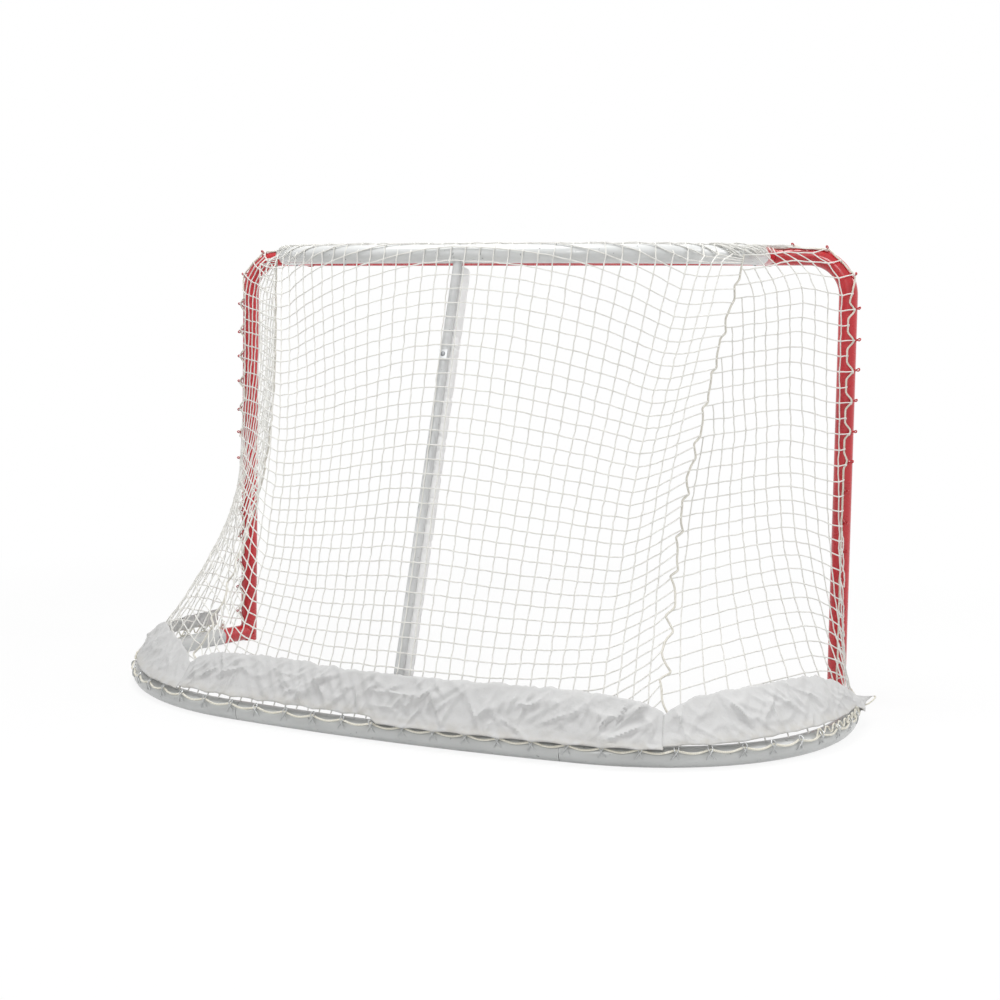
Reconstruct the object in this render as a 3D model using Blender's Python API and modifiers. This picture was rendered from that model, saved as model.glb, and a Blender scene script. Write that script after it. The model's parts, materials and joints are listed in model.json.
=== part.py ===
"""Ice hockey goal: a red front frame, white shelf, base and centre bar, and a tailored net with a canvas skirt.

Units are metres, +Z is up, the mouth faces -Y, and left and right are as a shooter sees them.
The origin lies on the floor, in the middle of the goal's footprint.
"""

import math

import bmesh
import bpy
import numpy as np
from mathutils import Matrix, Vector

# Mouth of the goal, inside the posts and under the crossbar: 6 ft by 4 ft.
MOUTH_WIDTH = 1.8288
MOUTH_HEIGHT = 1.2192

# Frame tube, 2 in outside.
TUBE_RADIUS = 0.0254
TUBE_WALL = 0.0025
CORNER_RADIUS = 0.11
CROSSBAR_JOINT_X = 0.62
POST_PLUG = 0.004
STUB_INSET = 0.0003

# Shelf tube behind the crossbar: a D seen from above.
SHELF_HALF_WIDTH = 0.72
SHELF_DEPTH = 0.55
SHELF_DROP = 0.01
SHELF_STRAIGHT = 0.05
SHELF_STUB = 0.11

# Base tube on the floor: it flares out from the feet and turns into a slightly bowed rear.
BASE_DEPTH = 0.97
BASE_FLARE = math.radians(17.0)
BASE_CORNER_RADIUS = 0.60
BASE_BOW = math.radians(6.4)
FOOT_STUB = 0.125
BASE_JOINT_X = 0.44

# Centre bar from the shelf down to the base.
BAR_RADIUS = 0.0127
BAR_WALL = 0.002
BAR_TOP_SPIGOT = 0.33
BAR_FOOT_SPIGOT = 0.06
SPIGOT_ROOT = 0.012
BAR_SCREW_DROP = 0.287
PAD_WIDTH = 0.05
PAD_THICKNESS = 0.048
PAD_SETBACK = 0.0325
PAD_SIDES = 16
PAD_TOP_GAP = 0.006
PAD_FOOT_GAP = 0.03

# Spigots that join the tubes end to end, and the screws that hold them.
SPIGOT_WALL = 0.0025
SPIGOT_HALF_LENGTH = 0.05
SCREW_RADIUS = 0.0025
SCREW_REACH = 0.008
SCREW_HEAD_RADIUS = 0.0055
SCREW_HEAD_HEIGHT = 0.003
SCREW_FROM_JOINT = 0.025
SCREW_TURN = math.radians(12.0)
BAR_SCREW_HEAD_RADIUS = 0.007
WASHER_SIDE = 0.024
WASHER_THICKNESS = 0.0015

# Wire staples welded along the tubes, and the cord that they hold.
PEG_PITCH = 0.0833
PEG_WIRE_RADIUS = 0.0018
LACING_RADIUS = 0.003
LACING_LIFT = 0.0068
FRONT_PEG_LEAN = math.radians(25.0)
BASE_PEG_LEAN = math.radians(45.0)
FIRST_POST_PEG = 0.096
FIRST_BASE_PEG = 0.0932
PEG_CLEAR = 0.0009
PEG_SCATTER = (0.018, 0.009, -0.016, -0.011, 0.016)

# Net: its border runs beside the lacing, and its panels meet in two seams.
NET_CORD = 0.005
NET_EDGE_TURN = math.radians(21.0)
NET_LIFT = 0.0078
BAR_NET_GAP = 0.0007
SEAM_SHELF_TURN = math.radians(24.0)
SEAM_BASE_X = 0.645
SEAM_CORD_RADIUS = 0.004
SEAM_SAG_IN = 0.08
SEAM_SAG_FORWARD = 0.045
BACK_SAG = 0.05
SIDE_SAG = 0.035
SIDE_FLARE_POWER = 2.8
TOP_SAG = 0.008
TOP_NET_SETBACK = 0.0015
BACK_COLUMNS = 15
BACK_ROWS = 7
SIDE_COLUMNS = 5
SIDE_ROWS = 9
TOP_COLUMNS = 12
TOP_ROWS = 3

# Canvas skirt over the lower edge of the net.
SKIRT_HEIGHT = 0.112
SKIRT_NOTCH = 0.4
SKIRT_NOTCH_REACH = 0.07
SKIRT_THICKNESS = 0.0022
SIDE_SKIRT_LIFT = 0.0047
REAR_SKIRT_LIFT = 0.0049
SKIRT_FOLD = 0.009
SKIRT_FOLD_PITCH = 0.115
SKIRT_HEM_GAP = 0.004
SKIRT_END_GAP = 0.012

CLEAR = 0.0003
TUBE_RESOLUTION = 4
TUBE_SIDES = 2 * TUBE_RESOLUTION + 4
CORD_RESOLUTION = 2
ARC_STEP = math.radians(9.0)
SHORTEST_RUN = 0.008

SHELF_CORNER_RADIUS = SHELF_DEPTH - SHELF_STRAIGHT
POST_X = MOUTH_WIDTH / 2 + TUBE_RADIUS
BAR_HEIGHT = MOUTH_HEIGHT + TUBE_RADIUS
BORE_RADIUS = TUBE_RADIUS - TUBE_WALL
LACING_REACH = TUBE_RADIUS + LACING_LIFT
FLAT_OF_SIDES = math.cos(math.pi / TUBE_SIDES)

parts = None
cutters = None


class Route:
    """A smooth path through points, measured by its length."""

    def __init__(self, points):
        self.points = np.array([tuple(p) for p in points], dtype=float)
        steps = np.linalg.norm(np.diff(self.points, axis=0), axis=1)
        self.at = np.concatenate([[0.0], np.cumsum(steps)])
        self.length = self.at[-1]

    def point(self, s):
        return Vector([float(np.interp(s, self.at, self.points[:, k])) for k in range(3)])

    def tangent(self, s):
        low = max(s - 0.004, 0.0)
        high = min(s + 0.004, self.length)
        return (self.point(high) - self.point(low)).normalized()

    def between(self, start, end):
        low = start + SHORTEST_RUN
        high = end - SHORTEST_RUN
        inside = [Vector(p) for s, p in zip(self.at, self.points) if low < s < high]
        return [self.point(start)] + inside + [self.point(end)]

    def nearest_x(self, x):
        """Length along the route where it reaches this x, on the half where x changes sign only once."""
        order = np.argsort(self.points[:, 0])
        return float(np.interp(x, self.points[order, 0], self.at[order]))


def arc(centre, radius, start, end, along, across):
    """Points of an arc about centre, from angle start to end, in the plane of two directions."""
    count = max(2, round(abs(end - start) / ARC_STEP))
    turns = [start + (end - start) * k / count for k in range(count + 1)]
    return [centre + radius * (math.cos(t) * along + math.sin(t) * across) for t in turns]


def mirrored(points):
    return [Vector((-p[0], p[1], p[2])) for p in reversed(points)]


def sided(point, side):
    return Vector((side * point[0], point[1], point[2]))


def front_route():
    """Centreline of the front frame: up the right post, over the crossbar, down the left post."""
    x_axis = Vector((1, 0, 0))
    z_axis = Vector((0, 0, 1))
    centre = Vector((POST_X - CORNER_RADIUS, 0, BAR_HEIGHT - CORNER_RADIUS))
    corner = arc(centre, CORNER_RADIUS, 0.0, math.pi / 2, x_axis, z_axis)
    half = [Vector((POST_X, 0, 0))] + corner
    return Route(half + mirrored(half))


def base_route():
    """Centreline of the base: from the right foot, round the rear, to the left foot."""
    rise = math.tan(BASE_BOW / 2)
    reach = POST_X - BASE_CORNER_RADIUS * math.cos(BASE_FLARE)
    turn = BASE_CORNER_RADIUS * math.sin(BASE_BOW)
    depth = BASE_CORNER_RADIUS * (math.sin(BASE_FLARE) + math.cos(BASE_BOW))
    straight = (BASE_DEPTH - depth - rise * (reach + turn)) / (
        math.cos(BASE_FLARE) + rise * math.sin(BASE_FLARE)
    )
    foot = Vector((POST_X, 0, TUBE_RADIUS))
    heading = Vector((math.sin(BASE_FLARE), math.cos(BASE_FLARE), 0))
    outward = Vector((math.cos(BASE_FLARE), -math.sin(BASE_FLARE), 0))
    bend = foot + heading * straight
    centre = bend - outward * BASE_CORNER_RADIUS
    across = Vector((0, 1, 0))
    along = Vector((1, 0, 0))
    corner = arc(centre, BASE_CORNER_RADIUS, -BASE_FLARE, math.pi / 2 - BASE_BOW, along, across)
    rear_radius = corner[-1].x / math.sin(BASE_BOW)
    rear_centre = Vector((0, BASE_DEPTH - rear_radius, TUBE_RADIUS))
    count = 4
    turns = [BASE_BOW * (1 - k / count) for k in range(1, count + 1)]
    rear = [rear_centre + rear_radius * Vector((math.sin(t), math.cos(t), 0)) for t in turns]
    half = [foot] + corner + rear
    return Route(half[:-1] + mirrored(half))


def shelf_route():
    """Centreline of the shelf: from the crossbar, round the back and a little lower, to the crossbar again."""
    start = Vector((SHELF_HALF_WIDTH, 0, BAR_HEIGHT))
    centre = Vector((SHELF_HALF_WIDTH - SHELF_CORNER_RADIUS, SHELF_STRAIGHT, BAR_HEIGHT))
    corner = arc(centre, SHELF_CORNER_RADIUS, 0.0, math.pi / 2, Vector((1, 0, 0)), Vector((0, 1, 0)))
    for spot in corner:
        spot.z -= SHELF_DROP * spot.y / SHELF_DEPTH
    half = [start] + corner
    return Route(half + mirrored(half))


FRONT = front_route()
BASE = base_route()
SHELF = shelf_route()
BAR_TOP = Vector((0, SHELF_DEPTH, BAR_HEIGHT - SHELF_DROP))
BAR_FOOT = Vector((0, BASE_DEPTH, TUBE_RADIUS))
BAR_DIRECTION = (BAR_FOOT - BAR_TOP).normalized()
BAR_BACK = Vector((0, -BAR_DIRECTION.z, BAR_DIRECTION.y))


def clear_scene():
    for found in list(bpy.data.objects):
        bpy.data.objects.remove(found, do_unlink=True)


def new_collection(name):
    made = bpy.data.collections.new(name)
    bpy.context.scene.collection.children.link(made)
    return made


def paint(name, color, roughness, metallic):
    made = bpy.data.materials.new(name)
    made.use_nodes = True
    shader = made.node_tree.nodes["Principled BSDF"]
    shader.inputs["Base Color"].default_value = (*color, 1.0)
    shader.inputs["Roughness"].default_value = roughness
    shader.inputs["Metallic"].default_value = metallic
    made.diffuse_color = (*color, 1.0)
    return made


def red_paint():
    return paint("red_paint", (0.55, 0.02, 0.03), 0.3, 0.0)


def white_paint():
    return paint("white_paint", (0.72, 0.73, 0.74), 0.4, 0.0)


def bare_steel():
    return paint("bare_steel", (0.55, 0.56, 0.57), 0.35, 1.0)


def zinc_plate():
    return paint("zinc_plate", (0.42, 0.43, 0.45), 0.4, 1.0)


def net_twine():
    return paint("net_twine", (0.80, 0.78, 0.70), 0.85, 0.0)


def seam_twine():
    return paint("seam_twine", (0.68, 0.63, 0.52), 0.9, 0.0)


def lacing_rope():
    return paint("lacing_rope", (0.76, 0.73, 0.60), 0.85, 0.0)


def canvas():
    return paint("canvas", (0.66, 0.66, 0.67), 0.9, 0.0)


def pad_vinyl():
    return paint("pad_vinyl", (0.80, 0.80, 0.80), 0.6, 0.0)


def wires(name, paths, radius, resolution):
    """One mesh of capped wires, each along its own points."""
    curve = bpy.data.curves.new(name, "CURVE")
    curve.dimensions = "3D"
    curve.bevel_depth = radius
    curve.bevel_resolution = resolution
    curve.use_fill_caps = True
    for points in paths:
        spline = curve.splines.new("POLY")
        spline.points.add(len(points) - 1)
        for spot, point in zip(spline.points, points):
            spot.co = (*point, 1.0)
    drawn = bpy.data.objects.new(name + "_curve", curve)
    parts.objects.link(drawn)
    bpy.context.view_layer.update()
    mesh = bpy.data.meshes.new_from_object(drawn.evaluated_get(bpy.context.evaluated_depsgraph_get()))
    bpy.data.objects.remove(drawn, do_unlink=True)
    bm = bmesh.new()
    bm.from_mesh(mesh)
    bmesh.ops.remove_doubles(bm, verts=bm.verts, dist=1e-6)
    bmesh.ops.recalc_face_normals(bm, faces=bm.faces)
    bm.to_mesh(mesh)
    bm.free()
    mesh.name = name
    return mesh


def place(mesh, name, material, parent=None):
    made = bpy.data.objects.new(name, mesh)
    mesh.materials.clear()
    mesh.materials.append(material)
    mesh.shade_smooth()
    mesh.set_sharp_from_angle(angle=math.radians(35))
    parts.objects.link(made)
    made.parent = parent
    return made


def helper(mesh, name, parent):
    made = bpy.data.objects.new(name, mesh)
    cutters.objects.link(made)
    made.parent = parent
    made.hide_render = True
    made.display_type = "WIRE"
    return made


def combine(target, mesh, name, operation):
    """Joins a mesh to a part, or cuts it out, with a Boolean that stays on the part."""
    step = target.modifiers.new(name, "BOOLEAN")
    step.operation = operation
    step.solver = "EXACT"
    step.object = helper(mesh, target.name + "_" + name, target.parent)


def rod(start, end, radius, name="rod", resolution=TUBE_RESOLUTION):
    return wires(name, [[start, end]], radius, resolution)


def stretched(points, by):
    """The same points with both ends drawn out, so that a bore runs clean through."""
    first = points[0] + (points[0] - points[1]).normalized() * by
    last = points[-1] + (points[-1] - points[-2]).normalized() * by
    return [first] + list(points[1:-1]) + [last]


def tube(name, points, material, parent, radius=TUBE_RADIUS, wall=TUBE_WALL, resolution=TUBE_RESOLUTION):
    """A hollow tube along points, open at both ends."""
    made = place(wires(name, [points], radius, resolution), name, material, parent)
    bore = wires(name + "_bore", [stretched(points, 0.01)], radius - wall, resolution)
    combine(made, bore, "bore", "DIFFERENCE")
    return made


def front_lean(s):
    """Direction in which a peg of the front frame stands: outward in the frame's plane, leaning back."""
    along = FRONT.tangent(s)
    outward = Vector((along.z, 0, -along.x))
    return math.cos(FRONT_PEG_LEAN) * outward + math.sin(FRONT_PEG_LEAN) * Vector((0, 1, 0))


def base_outward(s):
    along = BASE.tangent(s)
    return Vector((along.y, -along.x, 0))


def base_reach(s, lean, reach):
    """Point beside the base tube, at this angle above its outer side."""
    return BASE.point(s) + reach * (math.cos(lean) * base_outward(s) + math.sin(lean) * Vector((0, 0, 1)))


def base_lean(s):
    return base_reach(s, BASE_PEG_LEAN, 1.0) - BASE.point(s)


def staple(centre, along, out):
    """Points of one wire staple that stands on a tube and straddles the lacing."""
    across = along.cross(out).normalized()
    half = LACING_RADIUS + PEG_CLEAR + PEG_WIRE_RADIUS
    crown = LACING_REACH + LACING_RADIUS + PEG_CLEAR + 3 * PEG_WIRE_RADIUS
    root = BORE_RADIUS
    heights = (root, crown - PEG_WIRE_RADIUS, crown - PEG_WIRE_RADIUS, root)
    sides = (-half, -half * 0.9, half * 0.9, half)
    return [centre + out * h + across * w for h, w in zip(heights, sides)]


def pegs_between(route, lean, start, end, first):
    """Staples at the common pitch along one stretch of a route, clear of the shelf and bent a little by use."""
    count = int((route.length - 2 * first) / PEG_PITCH)
    spare = (route.length - 2 * first - count * PEG_PITCH) / 2
    places = [first + spare + PEG_PITCH * k for k in range(count + 1)]
    reach = PEG_WIRE_RADIUS * 3
    stood = [s for s in places if start + reach < s < end - reach]
    clear_of_shelf = TUBE_RADIUS + 4 * LACING_RADIUS
    free = []
    for s in stood:
        from_shelf = abs(abs(route.point(s).x) - SHELF_HALF_WIDTH)
        if route is BASE or from_shelf > clear_of_shelf:
            free.append(s)
    paths = []
    for index, s in enumerate(free):
        bend = route.tangent(s).cross(lean(s)) * PEG_SCATTER[index % len(PEG_SCATTER)]
        paths.append(staple(route.point(s), route.tangent(s), (lean(s) + bend).normalized()))
    return paths


def add_pegs(target, paths):
    if paths:
        combine(target, wires("pegs", paths, PEG_WIRE_RADIUS, 0), "pegs", "UNION")


def screw_hole(target, centre, direction, radius, name):
    hole = rod(
        centre + direction * (radius - SCREW_REACH - TUBE_WALL),
        centre + direction * (radius + 0.01),
        SCREW_RADIUS + CLEAR,
        name,
        CORD_RESOLUTION,
    )
    combine(target, hole, name, "DIFFERENCE")


def screw(name, centre, direction, radius, head_radius, material, parent, seat=CLEAR):
    """A pan-head screw whose head seats on a tube of this radius."""
    bm = bmesh.new()
    head = bmesh.ops.create_uvsphere(bm, u_segments=8, v_segments=4, radius=head_radius)
    for vert in head["verts"]:
        vert.co.z = max(vert.co.z, 0.0) * SCREW_HEAD_HEIGHT / head_radius
    bmesh.ops.remove_doubles(bm, verts=bm.verts, dist=1e-6)
    bmesh.ops.dissolve_degenerate(bm, edges=bm.edges, dist=1e-6)
    floor = [face for face in bm.faces if all(abs(v.co.z) < 1e-7 for v in face.verts)]
    bmesh.ops.delete(bm, geom=floor, context="FACES_ONLY")
    rim = [edge for edge in bm.edges if edge.is_boundary]
    bmesh.ops.holes_fill(bm, edges=rim)
    bmesh.ops.recalc_face_normals(bm, faces=bm.faces)
    turn = direction.to_track_quat("Z", "Y").to_matrix().to_4x4()
    turn.translation = centre + direction * (radius + seat)
    bmesh.ops.transform(bm, matrix=turn, verts=bm.verts)
    mesh = bpy.data.meshes.new(name)
    bm.to_mesh(mesh)
    bm.free()
    made = place(mesh, name, material, parent)
    foot = centre + direction * (radius - SCREW_REACH)
    top = centre + direction * (radius + seat + SCREW_HEAD_HEIGHT * 0.5)
    combine(made, rod(foot, top, SCREW_RADIUS, "shank", CORD_RESOLUTION), "shank", "UNION")
    return made


def post(side, name, material, parent):
    """One post with its rounded corner, and the stubs for the crossbar, the shelf and the base."""
    joint = FRONT.nearest_x(CROSSBAR_JOINT_X)
    joint = FRONT.length - joint if joint > FRONT.length / 2 else joint
    path = [sided(p, side) for p in FRONT.between(0.0, joint - CLEAR)]
    foot = [sided(p, side) for p in BASE.between(0.0, FOOT_STUB)]
    shelf = [sided(p, side) for p in SHELF.between(0.0, SHELF_STUB)]
    made = place(wires(name, [path], TUBE_RADIUS, TUBE_RESOLUTION), name, material, parent)
    stub_radius = TUBE_RADIUS - STUB_INSET
    combine(made, wires("foot", [foot], stub_radius, TUBE_RESOLUTION), "foot", "UNION")
    combine(made, wires("shelf", [shelf], stub_radius, TUBE_RESOLUTION), "shelf", "UNION")
    inner = [path[0] + Vector((0, 0, POST_PLUG))] + path[1:]
    inner = inner[:-1] + [inner[-1] + Vector((-0.01 * side, 0, 0))]
    combine(made, wires("bore", [inner], BORE_RADIUS, TUBE_RESOLUTION), "bore", "DIFFERENCE")
    root = TUBE_RADIUS + TUBE_WALL
    foot_bore = [sided(p, side) for p in BASE.between(root, FOOT_STUB + 0.01)]
    combine(made, wires("foot_bore", [foot_bore], BORE_RADIUS, TUBE_RESOLUTION), "foot_bore", "DIFFERENCE")
    shelf_bore = [sided(p, side) for p in SHELF.between(root, SHELF_STUB + 0.01)]
    combine(made, wires("shelf_bore", [shelf_bore], BORE_RADIUS, TUBE_RESOLUTION), "shelf_bore", "DIFFERENCE")
    if side > 0:
        front = pegs_between(FRONT, front_lean, 0.0, joint, FIRST_POST_PEG)
        low = pegs_between(BASE, base_lean, TUBE_RADIUS, FOOT_STUB, FIRST_BASE_PEG)
    else:
        front = pegs_between(FRONT, front_lean, FRONT.length - joint, FRONT.length, FIRST_POST_PEG)
        low = pegs_between(
            BASE, base_lean, BASE.length - FOOT_STUB, BASE.length - TUBE_RADIUS, FIRST_BASE_PEG
        )
    add_pegs(made, front + low)
    return made


def crossbar(material, parent):
    start = FRONT.nearest_x(CROSSBAR_JOINT_X)
    start = min(start, FRONT.length - start)
    end = FRONT.length - start
    made = tube("crossbar", FRONT.between(start + CLEAR, end - CLEAR), material, parent)
    add_pegs(made, pegs_between(FRONT, front_lean, start, end, FIRST_POST_PEG))
    return made


def shelf_tube(material, parent):
    """The bent shelf tube, with the spigot that carries the centre bar welded under it."""
    start = SHELF_STUB + CLEAR
    path = SHELF.between(start, SHELF.length - start)
    made = place(wires("shelf_tube", [path], TUBE_RADIUS, TUBE_RESOLUTION), "shelf_tube", material, parent)
    bore = wires("bore", [stretched(path, 0.01)], BORE_RADIUS, TUBE_RESOLUTION)
    combine(made, bore, "bore", "DIFFERENCE")
    radius = bar_spigot_radius()
    end = BAR_TOP + BAR_DIRECTION * BAR_TOP_SPIGOT
    combine(made, rod(BAR_TOP + BAR_DIRECTION * SPIGOT_ROOT, end, radius), "spigot", "UNION")
    core = rod(
        BAR_TOP + BAR_DIRECTION * (TUBE_RADIUS + TUBE_WALL), end + BAR_DIRECTION * 0.01, radius - SPIGOT_WALL
    )
    combine(made, core, "core", "DIFFERENCE")
    hole_at = BAR_TOP + BAR_DIRECTION * BAR_SCREW_DROP
    screw_hole(made, hole_at, BAR_BACK, BAR_RADIUS, "bar_screw_hole")
    return made


def bar_spigot_radius():
    return (BAR_RADIUS - BAR_WALL) * FLAT_OF_SIDES - CLEAR


def base_rear_tube(material, parent):
    """The rear of the base, with the short spigot that stands inside the centre bar."""
    start = base_joint()
    path = BASE.between(start + CLEAR, BASE.length - start - CLEAR)
    made = tube("base_rear_tube", path, material, parent)
    end = BAR_FOOT - BAR_DIRECTION * (TUBE_RADIUS + BAR_FOOT_SPIGOT)
    spigot = rod(BAR_FOOT - BAR_DIRECTION * SPIGOT_ROOT, end, bar_spigot_radius())
    combine(made, spigot, "spigot", "UNION")
    core = rod(
        BAR_FOOT - BAR_DIRECTION * (TUBE_RADIUS + TUBE_WALL),
        end - BAR_DIRECTION * 0.01,
        bar_spigot_radius() - SPIGOT_WALL,
    )
    combine(made, core, "core", "DIFFERENCE")
    add_pegs(made, pegs_between(BASE, base_lean, start, BASE.length - start, FIRST_BASE_PEG))
    return made


def base_joint():
    """Length along the base from the right foot to its rear joint."""
    order = BASE.points[:, 1] > BASE_DEPTH / 2
    x_values = BASE.points[order][:, 0][::-1]
    at_values = BASE.at[order][::-1]
    return float(np.interp(BASE_JOINT_X, x_values, at_values))


def base_side_tube(side, name, material, parent):
    """One side of the base: from the foot stub round the corner to the rear joint."""
    joint = base_joint()
    path = [sided(p, side) for p in BASE.between(FOOT_STUB + CLEAR, joint - CLEAR)]
    made = tube(name, path, material, parent)
    if side > 0:
        paths = pegs_between(BASE, base_lean, FOOT_STUB, joint, FIRST_BASE_PEG)
    else:
        paths = pegs_between(
            BASE, base_lean, BASE.length - joint, BASE.length - FOOT_STUB, FIRST_BASE_PEG
        )
    add_pegs(made, paths)
    return made


def centre_bar(material, parent):
    start = BAR_TOP + BAR_DIRECTION * (TUBE_RADIUS + CLEAR)
    end = BAR_FOOT - BAR_DIRECTION * (TUBE_RADIUS + CLEAR)
    made = tube("centre_bar", [start, end], material, parent, BAR_RADIUS, BAR_WALL)
    screw_hole(made, BAR_TOP + BAR_DIRECTION * BAR_SCREW_DROP, BAR_BACK, BAR_RADIUS, "bar_screw_hole")
    return made


def bar_washer(material, parent):
    """The square washer under the head of the bar's screw."""
    lift = BAR_RADIUS + CLEAR + WASHER_THICKNESS / 2
    bm = bmesh.new()
    bmesh.ops.create_cube(bm, size=1.0)
    bmesh.ops.scale(bm, vec=(WASHER_SIDE, WASHER_SIDE, WASHER_THICKNESS), verts=bm.verts)
    turn = BAR_BACK.to_track_quat("Z", "X").to_matrix().to_4x4()
    turn.translation = BAR_TOP + BAR_DIRECTION * BAR_SCREW_DROP + BAR_BACK * lift
    bmesh.ops.transform(bm, matrix=turn, verts=bm.verts)
    mesh = bpy.data.meshes.new("bar_washer")
    bm.to_mesh(mesh)
    bm.free()
    made = place(mesh, "bar_washer", material, parent)
    screw_hole(made, BAR_TOP + BAR_DIRECTION * BAR_SCREW_DROP, BAR_BACK, BAR_RADIUS, "hole")
    return made


def bar_pad(material, parent):
    """The soft oval pad on the mouth side of the centre bar, hollowed to sit against the tube."""
    start = BAR_TOP + BAR_DIRECTION * (TUBE_RADIUS + PAD_TOP_GAP)
    end = BAR_FOOT - BAR_DIRECTION * (TUBE_RADIUS + PAD_FOOT_GAP)
    bm = bmesh.new()
    bmesh.ops.create_cone(
        bm, cap_ends=True, segments=PAD_SIDES, radius1=0.5, radius2=0.5, depth=(end - start).length
    )
    bmesh.ops.scale(bm, vec=(PAD_WIDTH, PAD_THICKNESS, 1.0), verts=bm.verts)
    placed = Matrix((Vector((1, 0, 0)), BAR_BACK, -BAR_DIRECTION)).transposed().to_4x4()
    placed.translation = (start + end) / 2 - BAR_BACK * PAD_SETBACK
    bmesh.ops.transform(bm, matrix=placed, verts=bm.verts)
    bmesh.ops.recalc_face_normals(bm, faces=bm.faces)
    mesh = bpy.data.meshes.new("bar_pad")
    bm.to_mesh(mesh)
    bm.free()
    made = place(mesh, "bar_pad", material, parent)
    groove = rod(start - BAR_DIRECTION * 0.01, end + BAR_DIRECTION * 0.01, BAR_RADIUS + CLEAR)
    combine(made, groove, "groove", "DIFFERENCE")
    return made


def spigot(name, route, joint, side, material, parent, screw_direction):
    """A hollow inner sleeve that spans one joint, with the hole for its screw."""
    points = [sided(p, side) for p in route.between(joint - SPIGOT_HALF_LENGTH, joint + SPIGOT_HALF_LENGTH)]
    radius = BORE_RADIUS * FLAT_OF_SIDES - CLEAR
    made = tube(name, points, material, parent, radius, SPIGOT_WALL, CORD_RESOLUTION)
    centre = sided(route.point(joint + SCREW_FROM_JOINT), side)
    screw_hole(made, centre, screw_direction, TUBE_RADIUS, "screw_hole")
    return made


def lacing(name, points, material, parent):
    mesh = wires(name, [points], LACING_RADIUS, CORD_RESOLUTION)
    return place(mesh, name, material, parent)


def front_lacing(material, parent):
    """The cord that ties the net to the posts and the crossbar, under all their staples."""
    ends = FIRST_POST_PEG - 0.03
    lengths = [ends] + [s for s in FRONT.at if ends < s < FRONT.length - ends] + [FRONT.length - ends]
    points = [FRONT.point(s) + front_lean(s) * LACING_REACH for s in lengths]
    return lacing("front_lacing", points, material, parent)


def base_lacing(material, parent):
    """The border rope that ties the net to the base."""
    ends = FIRST_BASE_PEG / 2
    lengths = [ends] + [s for s in BASE.at if ends < s < BASE.length - ends] + [BASE.length - ends]
    points = [base_reach(s, BASE_PEG_LEAN, LACING_REACH) for s in lengths]
    return lacing("base_lacing", points, material, parent)


def shelf_edge(s, turn):
    """Point on the net where it wraps the shelf tube, at this angle above the tube's outer side."""
    along = SHELF.tangent(s)
    outward = Vector((along.y, -along.x, 0))
    reach = TUBE_RADIUS + NET_LIFT
    return SHELF.point(s) + reach * (math.cos(turn) * outward + math.sin(turn) * Vector((0, 0, 1)))


def base_edge(s):
    return base_reach(s, BASE_PEG_LEAN + NET_EDGE_TURN, LACING_REACH)


def seam_shelf_edge():
    """Where the right seam cord starts, hung against the shelf tube's outer side."""
    s = seam_shelf_length()
    along = SHELF.tangent(s)
    reach = TUBE_RADIUS + SEAM_CORD_RADIUS + PEG_CLEAR
    return SHELF.point(s) + reach * Vector((along.y, -along.x, 0))


def seam_shelf_length():
    """Length along the shelf to the top of the right seam."""
    return SHELF_STRAIGHT + SEAM_SHELF_TURN * SHELF_CORNER_RADIUS


def seam_base_length():
    order = BASE.points[:, 1] > BASE_DEPTH / 2
    return float(np.interp(SEAM_BASE_X, BASE.points[order][:, 0][::-1], BASE.at[order][::-1]))


def drape(v, amount):
    """How far the cloth sinks at this share of its height: none at its ends, most a little below the middle."""
    return amount * math.sin(math.pi * v**1.15)


def seam(v):
    """Point of the right seam, from the shelf at 0 to the base at 1."""
    top = seam_shelf_edge()
    foot = base_edge(seam_base_length())
    return top.lerp(foot, v) - Vector((drape(v, SEAM_SAG_IN), drape(v, SEAM_SAG_FORWARD), 0))


def back_point(u, v):
    """Point of the back panel: u runs from the right seam to the left seam, v from the shelf to the base."""
    s_top = seam_shelf_length()
    s_base = seam_base_length()
    top = shelf_edge(s_top + (SHELF.length - 2 * s_top) * u, 0.0)
    foot = base_edge(s_base + (BASE.length - 2 * s_base) * u)
    straight = top.lerp(foot, v)
    right = seam(v) - back_corner(0.0, v)
    left = sided(seam(v), -1) - back_corner(1.0, v)
    held = right * (1 - u) ** 3 + left * u**3
    hollow = drape(v, BACK_SAG) * math.sin(2 * math.pi * min(u, 1 - u)) ** 2
    return over_bar(straight + held - Vector((0, hollow, 0)))


def over_bar(point):
    """The same point, moved back where the centre bar holds the net out."""
    drop = (BAR_TOP.z - point.z) / -BAR_DIRECTION.z
    bar_y = BAR_TOP.y + BAR_DIRECTION.y * drop
    hold = (BAR_RADIUS + NET_CORD / 2 + BAR_NET_GAP) / -BAR_DIRECTION.z
    slope = 0.25 * max(0.0, abs(point.x) - 0.06)
    return Vector((point.x, max(point.y, bar_y + hold - slope), point.z))


def back_corner(u, v):
    s_top = seam_shelf_length()
    s_base = seam_base_length()
    top = shelf_edge(s_top + (SHELF.length - 2 * s_top) * u, 0.0)
    foot = base_edge(s_base + (BASE.length - 2 * s_base) * u)
    return top.lerp(foot, v)


def side_point(u, v):
    """Point of the right side panel: u runs from the post to the seam, v from the top to the base."""
    low = base_edge(FOOT_STUB * 0.35 + (seam_base_length() - FOOT_STUB * 0.35) * u)
    front = post_edge(v)
    rear = seam(v)
    flare = (low - post_edge(1.0).lerp(seam(1.0), u)) * v**SIDE_FLARE_POWER
    hollow = drape(v, SIDE_SAG) * math.sin(math.pi * u)
    return front.lerp(rear, u) + flare - Vector((hollow, 0, 0))


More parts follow.
